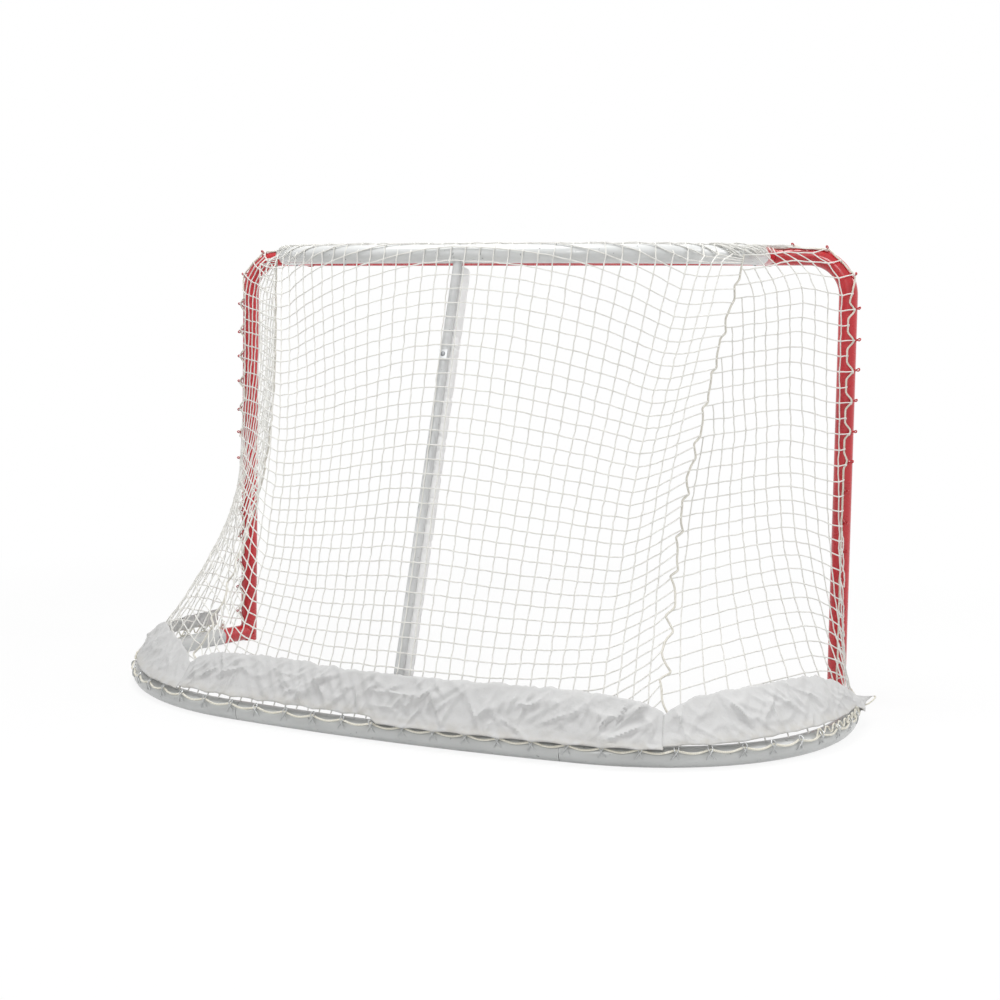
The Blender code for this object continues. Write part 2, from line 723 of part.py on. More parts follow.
def post_edge(v):
    """Where the side panel is laced to the post: from the end of the corner at 0 to the foot at 1."""
    top = FRONT.nearest_x(POST_X - CORNER_RADIUS)
    top = min(top, FRONT.length - top)
    low = LACING_REACH * 2.2
    s = top + (low - top) * v
    along = FRONT.tangent(s)
    outward = Vector((along.z, 0, -along.x))
    lean = FRONT_PEG_LEAN + NET_EDGE_TURN
    return FRONT.point(s) + LACING_REACH * (math.cos(lean) * outward + math.sin(lean) * Vector((0, 1, 0)))


def row_inset(surface, v, inset):
    """The shares of a row that leave this much free at both of its ends."""
    spots = [surface(k / 16, v) for k in range(17)]
    length = sum((b - a).length for a, b in zip(spots, spots[1:]))
    return inset / length, 1 - inset / length


def net_mesh(name, surface, columns, levels):
    """A net of square cords over a surface, one closed body."""
    rows = len(levels) - 1
    bm = bmesh.new()
    bmesh.ops.create_grid(bm, x_segments=columns, y_segments=rows, size=0.5)
    for vert in bm.verts:
        column = round((vert.co.x + 0.5) * columns)
        row = round((vert.co.y + 0.5) * rows)
        vert.co = surface(column / columns, levels[row])
    mesh = bpy.data.meshes.new(name)
    bm.to_mesh(mesh)
    bm.free()
    return mesh


def net_panel(name, surface, columns, levels, material, parent):
    made = place(net_mesh(name, surface, columns, levels), name, material, parent)
    cords = made.modifiers.new("cords", "WIREFRAME")
    cords.thickness = NET_CORD
    cords.use_even_offset = False
    cords.use_boundary = True
    cords.use_replace = True
    return made


def seam_inset():
    return SEAM_CORD_RADIUS + NET_CORD / 2 + PEG_CLEAR * 2


def wrapped_back(u, v):
    """The back panel with its first rows wrapped over the shelf tube, which they reach at v below 0."""
    if v >= 0:
        low, high = row_inset(back_point, v, seam_inset())
        return back_point(low + (high - low) * u, v)
    low, high = row_inset(back_point, 0.0, seam_inset())
    share = low + (high - low) * u
    s_top = seam_shelf_length()
    return shelf_edge(s_top + (SHELF.length - 2 * s_top) * share, -v * math.pi / 2)


def back_net(material, parent):
    wrap = [-0.94, -0.5, 0.0]
    levels = wrap + [(k + 1) / BACK_ROWS for k in range(BACK_ROWS)]
    return net_panel("back_net", wrapped_back, BACK_COLUMNS, levels, material, parent)


def side_net(side, name, material, parent):
    def surface(u, v):
        low, high = row_inset(side_point, v, seam_inset())
        return sided(side_point(low + (high - low) * u, v), side)

    levels = [0.02 + 0.98 * k / SIDE_ROWS for k in range(SIDE_ROWS + 1)]
    return net_panel(name, surface, SIDE_COLUMNS, levels, material, parent)


def top_point(u, v):
    """Point of the top panel: u runs across the mouth, v from the crossbar back to the shelf."""
    s = SHELF_STRAIGHT + (SHELF.length - 2 * SHELF_STRAIGHT) * u
    rear = shelf_edge(s, math.radians(100.0))
    height = BAR_HEIGHT + TUBE_RADIUS + NET_LIFT
    front = Vector((rear.x, TUBE_RADIUS + TOP_NET_SETBACK, height))
    sag = TOP_SAG * math.sin(math.pi * v) * math.sin(math.pi * u)
    return front.lerp(rear, v) - Vector((0, 0, sag))


def top_net(material, parent):
    levels = [k / TOP_ROWS for k in range(TOP_ROWS + 1)]
    return net_panel("top_net", top_point, TOP_COLUMNS, levels, material, parent)


def seam_cord(side, name, material, parent):
    count = 14
    points = [sided(seam(k / count), side) for k in range(count + 1)]
    mesh = wires(name, [points], SEAM_CORD_RADIUS, CORD_RESOLUTION)
    return place(mesh, name, material, parent)


def skirt_surface(panel, stand_off, notched_start=1.0):
    """The skirt over one panel: u along the hem, v from the hem at 0 to its top edge, lower at a seam, at 1."""
    spots = [panel(k / 24, 1.0) for k in range(25)]
    width = sum((b - a).length for a, b in zip(spots, spots[1:]))
    height = sum((panel(0.5, 1 - k / 8) - panel(0.5, 1 - (k + 1) / 8)).length for k in range(8))
    end = SKIRT_END_GAP / width
    folds = width / SKIRT_FOLD_PITCH

    def surface(u, v):
        share = end + (1 - 2 * end) * u
        notch = notched_start * math.exp(-share * width / SKIRT_NOTCH_REACH)
        notch += math.exp(-(1 - share) * width / SKIRT_NOTCH_REACH)
        level = 1 - (SKIRT_HEM_GAP + SKIRT_HEIGHT * (1 - SKIRT_NOTCH * notch) * v) / height
        spot = panel(share, level)
        along = panel(share + 0.01, level) - panel(share - 0.01, level)
        down = panel(share, level + 0.01) - panel(share, level - 0.01)
        normal = down.cross(along).normalized()
        wave = 0.5 + 0.5 * math.sin(2 * math.pi * folds * share + 1.7 * math.sin(5 * share))
        lift = stand_off + SKIRT_FOLD * wave * (0.35 + 0.65 * math.sin(math.pi * v))
        return spot + normal * lift

    return surface, max(6, round(folds * 4))


def skirt(name, surface, columns, material, parent):
    levels = [0.0, 0.33, 0.66, 1.0]
    made = place(net_mesh(name, surface, columns, levels), name, material, parent)
    cloth = made.modifiers.new("cloth", "SOLIDIFY")
    cloth.thickness = SKIRT_THICKNESS
    cloth.offset = 0.0
    return made


def rear_skirt(material, parent):
    surface, columns = skirt_surface(back_point, REAR_SKIRT_LIFT)
    return skirt("rear_skirt", surface, columns, material, parent)


def side_skirt(side, name, material, parent):
    plain, columns = skirt_surface(side_point, SIDE_SKIRT_LIFT, 0.0)

    def surface(u, v):
        return sided(plain(u, v), side)

    return skirt(name, surface, columns, material, parent)


def joint_hardware(steel, zinc, frame):
    """The eight tube joints: an inner sleeve and one screw each, on the side that shows least."""
    cross_joint = min(FRONT.nearest_x(CROSSBAR_JOINT_X), FRONT.length - FRONT.nearest_x(CROSSBAR_JOINT_X))
    level = math.cos(SCREW_TURN)
    rise = Vector((0, 0, math.sin(SCREW_TURN)))
    joints = (
        ("crossbar", FRONT, cross_joint, lambda s: Vector((0, math.sqrt(0.5), -math.sqrt(0.5)))),
        ("shelf", SHELF, SHELF_STUB, lambda s: Vector((-rise.z, 0, -level))),
        ("foot", BASE, FOOT_STUB, lambda s: rise - base_outward(s) * level),
        ("base", BASE, base_joint(), lambda s: rise - base_outward(s) * level),
    )
    carriers = {
        "crossbar": ("crossbar", "crossbar"),
        "shelf": ("shelf_tube", "shelf_tube"),
        "foot": ("right_base_tube", "left_base_tube"),
        "base": ("base_rear_tube", "base_rear_tube"),
    }
    for kind, route, joint, facing in joints:
        at = joint + SCREW_FROM_JOINT
        for index, (side, word) in enumerate(((1, "right"), (-1, "left"))):
            direction = sided(facing(at), side)
            centre = sided(route.point(at), side)
            spigot(f"{word}_{kind}_spigot", route, joint, side, steel, frame, direction)
            screw(
                f"{word}_{kind}_screw", centre, direction, TUBE_RADIUS, SCREW_HEAD_RADIUS, zinc, frame
            )
            carrier = bpy.data.objects[carriers[kind][index]]
            screw_hole(carrier, centre, direction, TUBE_RADIUS, f"{word}_screw_hole")


def build():
    global parts, cutters
    clear_scene()
    parts = new_collection("ice_hockey_goal")
    cutters = new_collection("cutters")
    frame = bpy.data.objects.new("goal_frame", None)
    netting = bpy.data.objects.new("goal_net", None)
    parts.objects.link(frame)
    parts.objects.link(netting)
    netting.parent = frame
    red = red_paint()
    white = white_paint()
    steel = bare_steel()
    zinc = zinc_plate()
    twine = net_twine()
    seams = seam_twine()
    rope = lacing_rope()
    cloth = canvas()
    vinyl = pad_vinyl()
    post(1, "right_post", red, frame)
    post(-1, "left_post", red, frame)
    crossbar(red, frame)
    shelf_tube(white, frame)
    base_side_tube(1, "right_base_tube", white, frame)
    base_side_tube(-1, "left_base_tube", white, frame)
    base_rear_tube(white, frame)
    centre_bar(white, frame)
    bar_washer(zinc, frame)
    screw(
        "bar_screw",
        BAR_TOP + BAR_DIRECTION * BAR_SCREW_DROP,
        BAR_BACK,
        BAR_RADIUS,
        BAR_SCREW_HEAD_RADIUS,
        zinc,
        frame,
        WASHER_THICKNESS + 2 * CLEAR,
    )
    bar_pad(vinyl, frame)
    joint_hardware(steel, zinc, frame)
    front_lacing(rope, netting)
    base_lacing(rope, netting)
    back_net(twine, netting)
    top_net(twine, netting)
    for side, word in ((1, "right"), (-1, "left")):
        side_net(side, f"{word}_side_net", twine, netting)
        seam_cord(side, f"{word}_seam_cord", seams, netting)
        side_skirt(side, f"{word}_skirt", cloth, netting)
    rear_skirt(cloth, netting)
    centre_on_origin(frame)


def centre_on_origin(frame):
    """Sets the goal back, so that the origin is the middle of its footprint on the floor."""
    bpy.context.view_layer.update()
    graph = bpy.context.evaluated_depsgraph_get()
    depths = []
    for piece in parts.objects:
        if piece.type == "MESH":
            corners = piece.evaluated_get(graph).bound_box
            depths += [corner[1] for corner in corners]
    frame.location.y = -(min(depths) + max(depths)) / 2


build()
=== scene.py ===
import json
import random
from math import atan2, cos, exp, floor, hypot, pi, radians, sin, tan

import bmesh
import bpy
from mathutils import Matrix, Vector, noise


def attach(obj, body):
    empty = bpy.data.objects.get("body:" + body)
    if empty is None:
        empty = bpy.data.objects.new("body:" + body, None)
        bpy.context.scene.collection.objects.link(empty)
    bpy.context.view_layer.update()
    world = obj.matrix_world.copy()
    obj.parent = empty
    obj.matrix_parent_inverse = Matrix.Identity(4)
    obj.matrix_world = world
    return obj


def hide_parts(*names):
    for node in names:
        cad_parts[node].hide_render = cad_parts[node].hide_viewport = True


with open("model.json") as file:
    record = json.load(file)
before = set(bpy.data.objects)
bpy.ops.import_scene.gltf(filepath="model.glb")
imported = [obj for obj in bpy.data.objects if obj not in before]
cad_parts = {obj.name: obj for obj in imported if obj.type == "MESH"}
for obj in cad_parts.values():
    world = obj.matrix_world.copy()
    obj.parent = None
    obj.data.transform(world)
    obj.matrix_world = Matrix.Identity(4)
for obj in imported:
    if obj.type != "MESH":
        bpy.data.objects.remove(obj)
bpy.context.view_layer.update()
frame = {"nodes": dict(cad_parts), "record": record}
print("loaded the frame:", len(frame["nodes"]), "nodes")

# Sizes of the goal, in metres. The mouth's plane stands at y = mouthY.
goal = {
    "postX": 0.9398, "barHeight": 1.2446, "mouthY": -0.48897, "tubeRadius": 0.0254, "cornerRadius": 0.11,
    "crossbarJoint": 0.62, "shelfHalfWidth": 0.72, "shelfDepth": 0.55, "shelfStraight": 0.05,
    "shelfStub": 0.11, "shelfDrop": 0.01, "baseDepth": 0.97, "baseFlare": radians(17.0),
    "baseCornerRadius": 0.60, "baseBow": radians(6.4), "footStub": 0.125, "baseJointX": 0.44,
    "barRadius": 0.0127, "jointGap": 0.0003,
}
tubeRadius = goal["tubeRadius"]
bothSides = ((1, "right"), (-1, "left"))
xAxis = Vector((1, 0, 0))
yAxis = Vector((0, 1, 0))
zAxis = Vector((0, 0, 1))


def mix(a, b, share):
    return a + (b - a) * share


def step(low, high, value):
    # smooth rise from 0 at low to 1 at high
    share = min(max((value - low) / (high - low), 0.0), 1.0)
    return share * share * (3 - 2 * share)


def sided(point, side):
    return Vector((side * point.x, point.y, point.z))


def sidedPath(path, side):
    return [sided(p, side) for p in path]


def curvePoints(centre, radius, start, end, along, across, stepAngle=radians(2.5)):
    count = max(2, round(abs(end - start) / stepAngle))
    turns = [mix(start, end, k / count) for k in range(count + 1)]
    return [centre + radius * (cos(t) * along + sin(t) * across) for t in turns]


class Route:
    # a path through points, measured by its length
    def __init__(self, points):
        self.points = points
        self.at = [0.0]
        for a, b in zip(points, points[1:]):
            self.at.append(self.at[-1] + (b - a).length)
        self.length = self.at[-1]

    def point(self, s):
        s = min(max(s, 0.0), self.length)
        low, high = 0, len(self.at) - 1
        while high - low > 1:
            middle = (low + high) // 2
            if self.at[middle] <= s:
                low = middle
            else:
                high = middle
        span = self.at[high] - self.at[low]
        return self.points[low].lerp(self.points[high], (s - self.at[low]) / span)

    def tangent(self, s, reach=0.004):
        return (self.point(s + reach) - self.point(s - reach)).normalized()

    def between(self, start, end, spare=0.002):
        inside = [p for s, p in zip(self.at, self.points) if start + spare < s < end - spare]
        return [self.point(start)] + inside + [self.point(end)]

    def whereX(self, x, low, high):
        # length where x is reached, between two lengths over which x only falls
        for _ in range(40):
            middle = (low + high) / 2
            if self.point(middle).x > x:
                low = middle
            else:
                high = middle
        return (low + high) / 2


def bothHalves(half):
    return half + sidedPath(reversed(half), -1)


def frontRoute():
    turn = goal["cornerRadius"]
    centre = Vector((goal["postX"] - turn, goal["mouthY"], goal["barHeight"] - turn))
    corner = curvePoints(centre, turn, 0.0, pi / 2, xAxis, zAxis)
    return Route(bothHalves([Vector((goal["postX"], goal["mouthY"], 0))] + corner))


def baseRoute():
    flare, bow, turn = goal["baseFlare"], goal["baseBow"], goal["baseCornerRadius"]
    rise = tan(bow / 2)
    reach = goal["postX"] - turn * cos(flare) + turn * sin(bow)
    depth = turn * (sin(flare) + cos(bow))
    straight = (goal["baseDepth"] - depth - rise * reach) / (cos(flare) + rise * sin(flare))
    foot = Vector((goal["postX"], goal["mouthY"], tubeRadius))
    bend = foot + Vector((sin(flare), cos(flare), 0)) * straight
    centre = bend - Vector((cos(flare), -sin(flare), 0)) * turn
    corner = curvePoints(centre, turn, -flare, pi / 2 - bow, xAxis, yAxis)
    wide = corner[-1].x / sin(bow)
    middle = Vector((0, goal["mouthY"] + goal["baseDepth"] - wide, tubeRadius))
    rear = curvePoints(middle, wide, pi / 2 - bow, pi / 2, xAxis, yAxis, bow / 8)
    half = [foot] + corner + rear[1:-1]
    return Route(half + [Vector((0, rear[-1].y, rear[-1].z))] + sidedPath(reversed(half), -1))


def shelfRoute():
    turn = goal["shelfDepth"] - goal["shelfStraight"]
    start = Vector((goal["shelfHalfWidth"], goal["mouthY"], goal["barHeight"]))
    centre = Vector((start.x - turn, goal["mouthY"] + goal["shelfStraight"], goal["barHeight"]))
    half = [start] + curvePoints(centre, turn, 0.0, pi / 2, xAxis, yAxis)
    for spot in half:
        spot.z -= goal["shelfDrop"] * (spot.y - goal["mouthY"]) / goal["shelfDepth"]
    return Route(bothHalves(half))


frontLine = frontRoute()
baseLine = baseRoute()
shelfLine = shelfRoute()
barTop = Vector((0, goal["mouthY"] + goal["shelfDepth"], goal["barHeight"] - goal["shelfDrop"]))
barFoot = Vector((0, goal["mouthY"] + goal["baseDepth"], tubeRadius))
barDown = (barFoot - barTop).normalized()
barBack = Vector((0, -barDown.z, barDown.y))


# Surfaces that the net hangs on, those of the CAD model.
netForm = {
    "laceReach": 0.0322, "lowestLace": 0.07084, "footStart": 0.04375, "frontLean": radians(25.0),
    "baseLean": radians(45.0), "edgeTurn": radians(21.0), "shelfLift": 0.0042,
    "seamTopTurn": radians(24.0), "seamBaseX": {1: 0.645, -1: 0.67}, "seamReach": 0.0303,
    "seamSagIn": {1: 0.09, -1: 0.055}, "seamSagForward": 0.045, "backSag": 0.05, "sideSag": 0.035,
    "topSag": 0.008, "sagSkew": 1.15, "barHold": 0.0159, "barWidth": 0.06, "barSlope": 0.25,
    "sideFlare": 2.8,
}
turnSpan = (baseLine.length * 0.2, baseLine.length * 0.5)  # the base tube's right bend lies between these
seamTopAt = goal["shelfStraight"] + netForm["seamTopTurn"] * (goal["shelfDepth"] - goal["shelfStraight"])
seamBaseAt = {side: baseLine.whereX(x, *turnSpan) for side, x in netForm["seamBaseX"].items()}


def outwardOf(route, s):
    along = route.tangent(s)
    return Vector((along.y, -along.x, 0))


def frontOut(s, lean):
    along = frontLine.tangent(s)
    return cos(lean) * Vector((along.z, 0, -along.x)) + sin(lean) * yAxis


def baseOut(s, lean):
    return cos(lean) * outwardOf(baseLine, s) + sin(lean) * zAxis


def shelfEdge(s, turn, lift=None):
    reach = tubeRadius + (netForm["shelfLift"] if lift is None else lift)
    return shelfLine.point(s) + reach * (cos(turn) * outwardOf(shelfLine, s) + sin(turn) * zAxis)


def baseEdge(s):
    return baseLine.point(s) + netForm["laceReach"] * baseOut(s, netForm["baseLean"] + netForm["edgeTurn"])


def drape(v, amount):
    return amount * sin(pi * max(v, 0.0) ** netForm["sagSkew"])


seamTop = shelfLine.point(seamTopAt) + netForm["seamReach"] * outwardOf(shelfLine, seamTopAt)
seamFoot = {side: baseEdge(at) for side, at in seamBaseAt.items()}


def seamLine(v, side):
    # the seam of either side, in the right side's form
    sag = Vector((drape(v, netForm["seamSagIn"][side]), drape(v, netForm["seamSagForward"]), 0))
    return seamTop.lerp(seamFoot[side], v) - sag


def shelfAt(u):
    return mix(seamTopAt, shelfLine.length - seamTopAt, u)


def baseAt(u):
    return mix(seamBaseAt[1], baseLine.length - seamBaseAt[-1], u)


def backPoint(u, v):
    # u from the right seam to the left seam, v from the shelf to the base
    cornerTop = shelfEdge(seamTopAt, 0.0)
    gaps = {side: seamLine(v, side) - cornerTop.lerp(foot, v) for side, foot in seamFoot.items()}
    held = gaps[1] * (1 - u) ** 3 + sided(gaps[-1], -1) * u**3
    hollow = drape(v, netForm["backSag"]) * sin(2 * pi * min(u, 1 - u)) ** 2
    return overBar(shelfEdge(shelfAt(u), 0.0).lerp(baseEdge(baseAt(u)), v) + held - yAxis * hollow)


def overBar(point):
    # the back net lies on the centre bar and slopes away beside it
    drop = (barTop.z - point.z) / -barDown.z
    barY = barTop.y + barDown.y * drop
    slope = netForm["barSlope"] * max(0.0, abs(point.x) - netForm["barWidth"])
    return Vector((point.x, max(point.y, barY + netForm["barHold"] / -barDown.z - slope), point.z))


def postEdgeAt(v):
    # length along the front frame where the side net's level v is laced
    top = goal["barHeight"] - goal["cornerRadius"] + pi / 2 * goal["cornerRadius"]
    return mix(top, netForm["lowestLace"], v)


topLace = postEdgeAt(0.0)
lacedLength = topLace - postEdgeAt(1.0)


def postEdge(v):
    s = postEdgeAt(v)
    return frontLine.point(s) + netForm["laceReach"] * frontOut(s, netForm["frontLean"] + netForm["edgeTurn"])


def sideBaseAt(u, side):
    return mix(netForm["footStart"], seamBaseAt[side], u)


def sidePoint(u, v, side):
    # u from the post to the seam, v from the top to the base, in the right side's form
    low = baseEdge(sideBaseAt(u, side))
    flare = (low - postEdge(1.0).lerp(seamLine(1.0, side), u)) * max(v, 0.0) ** netForm["sideFlare"]
    hollow = drape(v, netForm["sideSag"]) * sin(pi * u)
    return postEdge(v).lerp(seamLine(v, side), u) + flare - xAxis * hollow


# Shader maths: sums and products of a Signal add Math nodes to its material.
class Signal:
    def __init__(self, nodes, socket):
        self.nodes = nodes
        self.socket = socket

    def worked(self, operation, first, second):
        return self.nodes.node("ShaderNodeMath", {"operation": operation}, {0: first, 1: second})

    def __add__(self, other):
        return self.worked("ADD", self, other)

    def __radd__(self, other):
        return self.worked("ADD", other, self)

    def __sub__(self, other):
        return self.worked("SUBTRACT", self, other)

    def __rsub__(self, other):
        return self.worked("SUBTRACT", other, self)

    def __mul__(self, other):
        return self.worked("MULTIPLY", self, other)

    def __rmul__(self, other):
        return self.worked("MULTIPLY", other, self)

    def __or__(self, other):
        return self.worked("MAXIMUM", self, other)


class NodeSheet:
    # adds nodes to one node tree
    def __init__(self, tree):
        self.tree = tree

    def feed(self, target, value):
        if isinstance(value, Signal):
            self.tree.links.new(value.socket, target)
        else:
            target.default_value = value

    def node(self, kind, settings=None, values=None, out=0):
        made = self.tree.nodes.new(kind)
        for key, value in (settings or {}).items():
            setattr(made, key, value)
        for key, value in (values or {}).items():
            self.feed(made.inputs[key], value)
        return Signal(self, made.outputs[out])

    def place(self):
        return self.node("ShaderNodeTexCoord", out="Object")

    def stretched(self, vector, scale):
        return self.node("ShaderNodeMapping", None, {"Vector": vector, "Scale": scale})

    def cloud(self, vector, scale, detail=3.0, roughness=0.5):
        values = {"Vector": vector, "Scale": scale, "Detail": detail, "Roughness": roughness}
        return self.node("ShaderNodeTexNoise", None, values)

    def ramp(self, value, low, high, start=0.0, end=1.0):
        settings = {"clamp": True, "interpolation_type": "SMOOTHSTEP"}
        return self.node("ShaderNodeMapRange", settings, {0: value, 1: low, 2: high, 3: start, 4: end})

    def patches(self, vector, scale, low, high, detail=3.0):
        return self.ramp(self.cloud(vector, scale, detail), low, high)

    def blend(self, share, first, second):
        # mixes two colours
        first = first if isinstance(first, Signal) else (*first, 1.0)
        second = second if isinstance(second, Signal) else (*second, 1.0)
        return self.node("ShaderNodeMix", {"data_type": "RGBA"}, {0: share, 6: first, 7: second}, out=2)

    def bump(self, height, strength, distance, under=None):
        values = {"Height": height, "Strength": strength, "Distance": distance}
        if under:
            values["Normal"] = under
        return self.node("ShaderNodeBump", None, values)

    def seenDirectly(self):
        # 1 for what the camera sees, also in metal and through glass
        rays = ("Is Camera Ray", "Is Glossy Ray", "Is Transmission Ray")
        seen = [self.node("ShaderNodeLightPath", out=ray) for ray in rays]
        return seen[0] | seen[1] | seen[2]


class Paint(NodeSheet):
    def __init__(self, name, color, roughness, **constants):
        self.material = bpy.data.materials.new(name)
        self.material.use_nodes = True
        super().__init__(self.material.node_tree)
        self.shader = self.tree.nodes["Principled BSDF"]
        self.set("Base Color", (*color, 1.0))
        self.set("Roughness", roughness)
        for key, value in constants.items():
            self.set(key, value)
        self.material.diffuse_color = (*color, 1.0)

    def set(self, key, value):
        self.feed(self.shader.inputs[key], value)

    def finished(self, color, roughness, normal):
        self.set("Base Color", color)
        self.set("Roughness", roughness)
        self.set("Normal", normal)
        return self.material


# Enamel looks: marks are scratches that let a scuffed colour through, spots are rubbed or chipped places.
# Each has a scale and a range, and a share that says how strongly it shows.
redLook = {
    "gloss": 0.27, "coat": 0.35, "coatGloss": 0.12, "broad": 9.0, "shading": 0.35, "grain": (90.0, 90.0, 6.0),
    "scratch": 0.74, "marks": (30.0, 0.5, 0.62), "marked": 0.5, "scuff": (0.60, 0.09, 0.08),
    "spots": (65.0, 0.62, 0.72, 4.0), "spotted": 0.35, "spot": (0.24, 0.02, 0.02),
    "spotsFirst": True, "wear": (40.0, 0.14, 0.2),
}
paleLook = {
    "gloss": 0.36, "coat": 0.25, "coatGloss": 0.15, "broad": 7.0, "shading": 0.45, "grain": (6.0, 60.0, 90.0),
    "scratch": 0.75, "marks": (26.0, 0.5, 0.64), "marked": 0.45, "scuff": (0.20, 0.20, 0.20),
    "spots": (75.0, 0.69, 0.72, 4.0), "spotted": 0.6, "spot": (0.10, 0.10, 0.10),
    "spotsFirst": False, "wear": (35.0, 0.16, 0.28),
}


def enamel(name, color, shade, look):
    coat = {"Coat Weight": look["coat"], "Coat Roughness": look["coatGloss"]}
    paint = Paint(name, color, look["gloss"], **coat)
    place = paint.place()
    scratch = paint.cloud(paint.stretched(place, look["grain"]), 3.0, 2.0)
    marks = paint.ramp(scratch, 0.66, look["scratch"]) * paint.patches(place, *look["marks"])
    spots = paint.patches(place, *look["spots"])
    layers = [(marks * look["marked"], look["scuff"]), (spots * look["spotted"], look["spot"])]
    tone = paint.blend(paint.patches(place, look["broad"], 0.35, 0.7) * look["shading"], color, shade)
    for share, over in reversed(layers) if look["spotsFirst"] else layers:
        tone = paint.blend(share, tone, over)
    scale, amount, least = look["wear"]
    rough = paint.cloud(place, scale) * amount + marks * 0.2 + least
    return paint.finished(tone, rough, paint.bump(paint.cloud(place, 420.0, 2.0), 0.12, 0.0006))


def cordPaint(name, color, shade, lay):
    # twisted cord, its strands running slantwise
    paint = Paint(name, color, 0.85, **{"Sheen Weight": 0.15, "Sheen Roughness": 0.5})
    place = paint.place()
    grime = paint.patches(place, 55.0, 0.35, 0.75)
    fibre = paint.cloud(place, 900.0, 2.0)
    values = {"Vector": place, "Scale": lay, "Distortion": 2.5, "Detail": 2.0, "Detail Scale": 2.0}
    strand = paint.ramp(paint.node("ShaderNodeTexWave", {"bands_direction": "DIAGONAL"}, values), 0.2, 0.8)
    # painted shade: the grooves between the strands are darkened towards the shade colour, and random grime
    # patches darken the cord in places too
    tone = paint.blend((1 - strand) * 0.35, paint.blend(grime * 0.45, color, shade), shade)
    fine = paint.bump(fibre, 0.35, 0.0004)
    return paint.finished(tone, fibre * 0.12 + 0.78, paint.bump(strand, 0.7, 0.0007, fine))


def canvasCloth():
    look = {
        "color": (0.60, 0.60, 0.598), "soil": (0.46, 0.455, 0.44), "hem": (0.46, 0.43, 0.36), "weave": 700.0,
    }
    paint = Paint("canvasCloth", look["color"], 0.9, **{"Sheen Weight": 0.1})
    place = paint.place()
    layout = paint.node("ShaderNodeUVMap", {"uv_map": "weave"})
    values = {"Vector": layout, "Scale": look["weave"], "Distortion": 0.6, "Detail Scale": 3.0}
    warp, weft = [paint.node("ShaderNodeTexWave", {"bands_direction": way}, values) for way in "XY"]
    blotch = paint.patches(place, 14.0, 0.45, 0.8, 5.0)
    slub = paint.cloud(place, 260.0, 2.0)
    tone = paint.blend(blotch * 0.35, look["color"], look["soil"])
    # painted shade along the lower hem: the lowest 3.5 cm of the cloth darken in patches towards a tan colour
    low = paint.node("ShaderNodeSeparateXYZ", None, {0: layout}, out=1)
    hem = paint.ramp(low, 0.0, 0.035, 1.0, 0.0) * paint.patches(place, 40.0, 0.3, 0.65)
    tone = paint.blend(slub * 0.16, paint.blend(hem * 0.4, tone, look["hem"]), look["soil"])
    small = paint.bump(paint.cloud(place, 55.0, 5.0, 0.6), 0.6, 0.004)
    return paint.finished(tone, slub * 0.14 + 0.8, paint.bump(warp * weft, 0.35, 0.0003, small))


def padCloth():
    look = {"color": (0.90, 0.90, 0.90), "soil": (0.74, 0.74, 0.73)}
    paint = Paint("padCloth", look["color"], 0.7, **{"Sheen Weight": 0.1})
    place = paint.place()
    blotch = paint.patches(place, 30.0, 0.45, 0.8, 4.0)
    tone = paint.blend(blotch * 0.3, look["color"], look["soil"])
    rough = paint.cloud(place, 120.0) * 0.2 + 0.6
    soft = paint.bump(paint.cloud(place, 70.0, 4.0), 0.35, 0.002)
    return paint.finished(tone, rough, paint.bump(paint.cloud(place, 1100.0, 1.0), 0.25, 0.0003, soft))


def plainMetal(name, color, roughness):
    paint = Paint(name, color, roughness, Metallic=1.0)
    place = paint.place()
    grain = paint.cloud(paint.stretched(place, (60.0, 60.0, 900.0)), 2.0, 2.0)
    tone = paint.blend(paint.patches(place, 160.0, 0.5, 0.75) * 0.4, color, tuple(c * 0.6 for c in color))
    return paint.finished(tone, grain * 0.2 + (roughness - 0.08), paint.bump(grain, 0.15, 0.0002))


red = enamel("redEnamel", (0.50, 0.012, 0.02), (0.33, 0.006, 0.010), redLook)
white = enamel("whiteEnamel", (0.66, 0.67, 0.665), (0.54, 0.55, 0.545), paleLook)
# painted shade: the base tubes' white paint, darkened below the white enamel to stand for the shade they sit
# in
baseWhitePaintedShade = enamel("baseEnamelPaintedShade", (0.52, 0.53, 0.525), (0.42, 0.43, 0.425), paleLook)
# painted shade: the centre bar's white paint, made greyer than the white enamel to stand for the shade on its
# face
barWhitePaintedShade = enamel("barEnamelPaintedShade", (0.62, 0.63, 0.63), (0.50, 0.51, 0.51), paleLook)
twine = cordPaint("netTwine", (0.80, 0.795, 0.765), (0.66, 0.65, 0.60), 130.0)
rope = cordPaint("laceRope", (0.78, 0.76, 0.68), (0.58, 0.55, 0.44), 90.0)
seamYarn = cordPaint("seamTwine", (0.72, 0.70, 0.64), (0.58, 0.56, 0.49), 80.0)
canvas = canvasCloth()
padSkin = padCloth()
steel = plainMetal("drawnSteel", (0.55, 0.56, 0.57), 0.35)
zinc = plainMetal("zincPlate", (0.30, 0.31, 0.32), 0.45)
pegWire = plainMetal("pegWire", (0.52, 0.53, 0.53), 0.45)
washerZinc = plainMetal("washerPlate", (0.74, 0.75, 0.76), 0.5)
print("materials made")

# Pieces are drawn as bevelled curves and turned into one mesh each.
def addObject(name, data):
    made = bpy.data.objects.new(name, data)
    bpy.context.scene.collection.objects.link(made)
    return made


def meshOf(work, name):
    made = bpy.data.meshes.new(name)
    work.to_mesh(made)
    work.free()
    return made


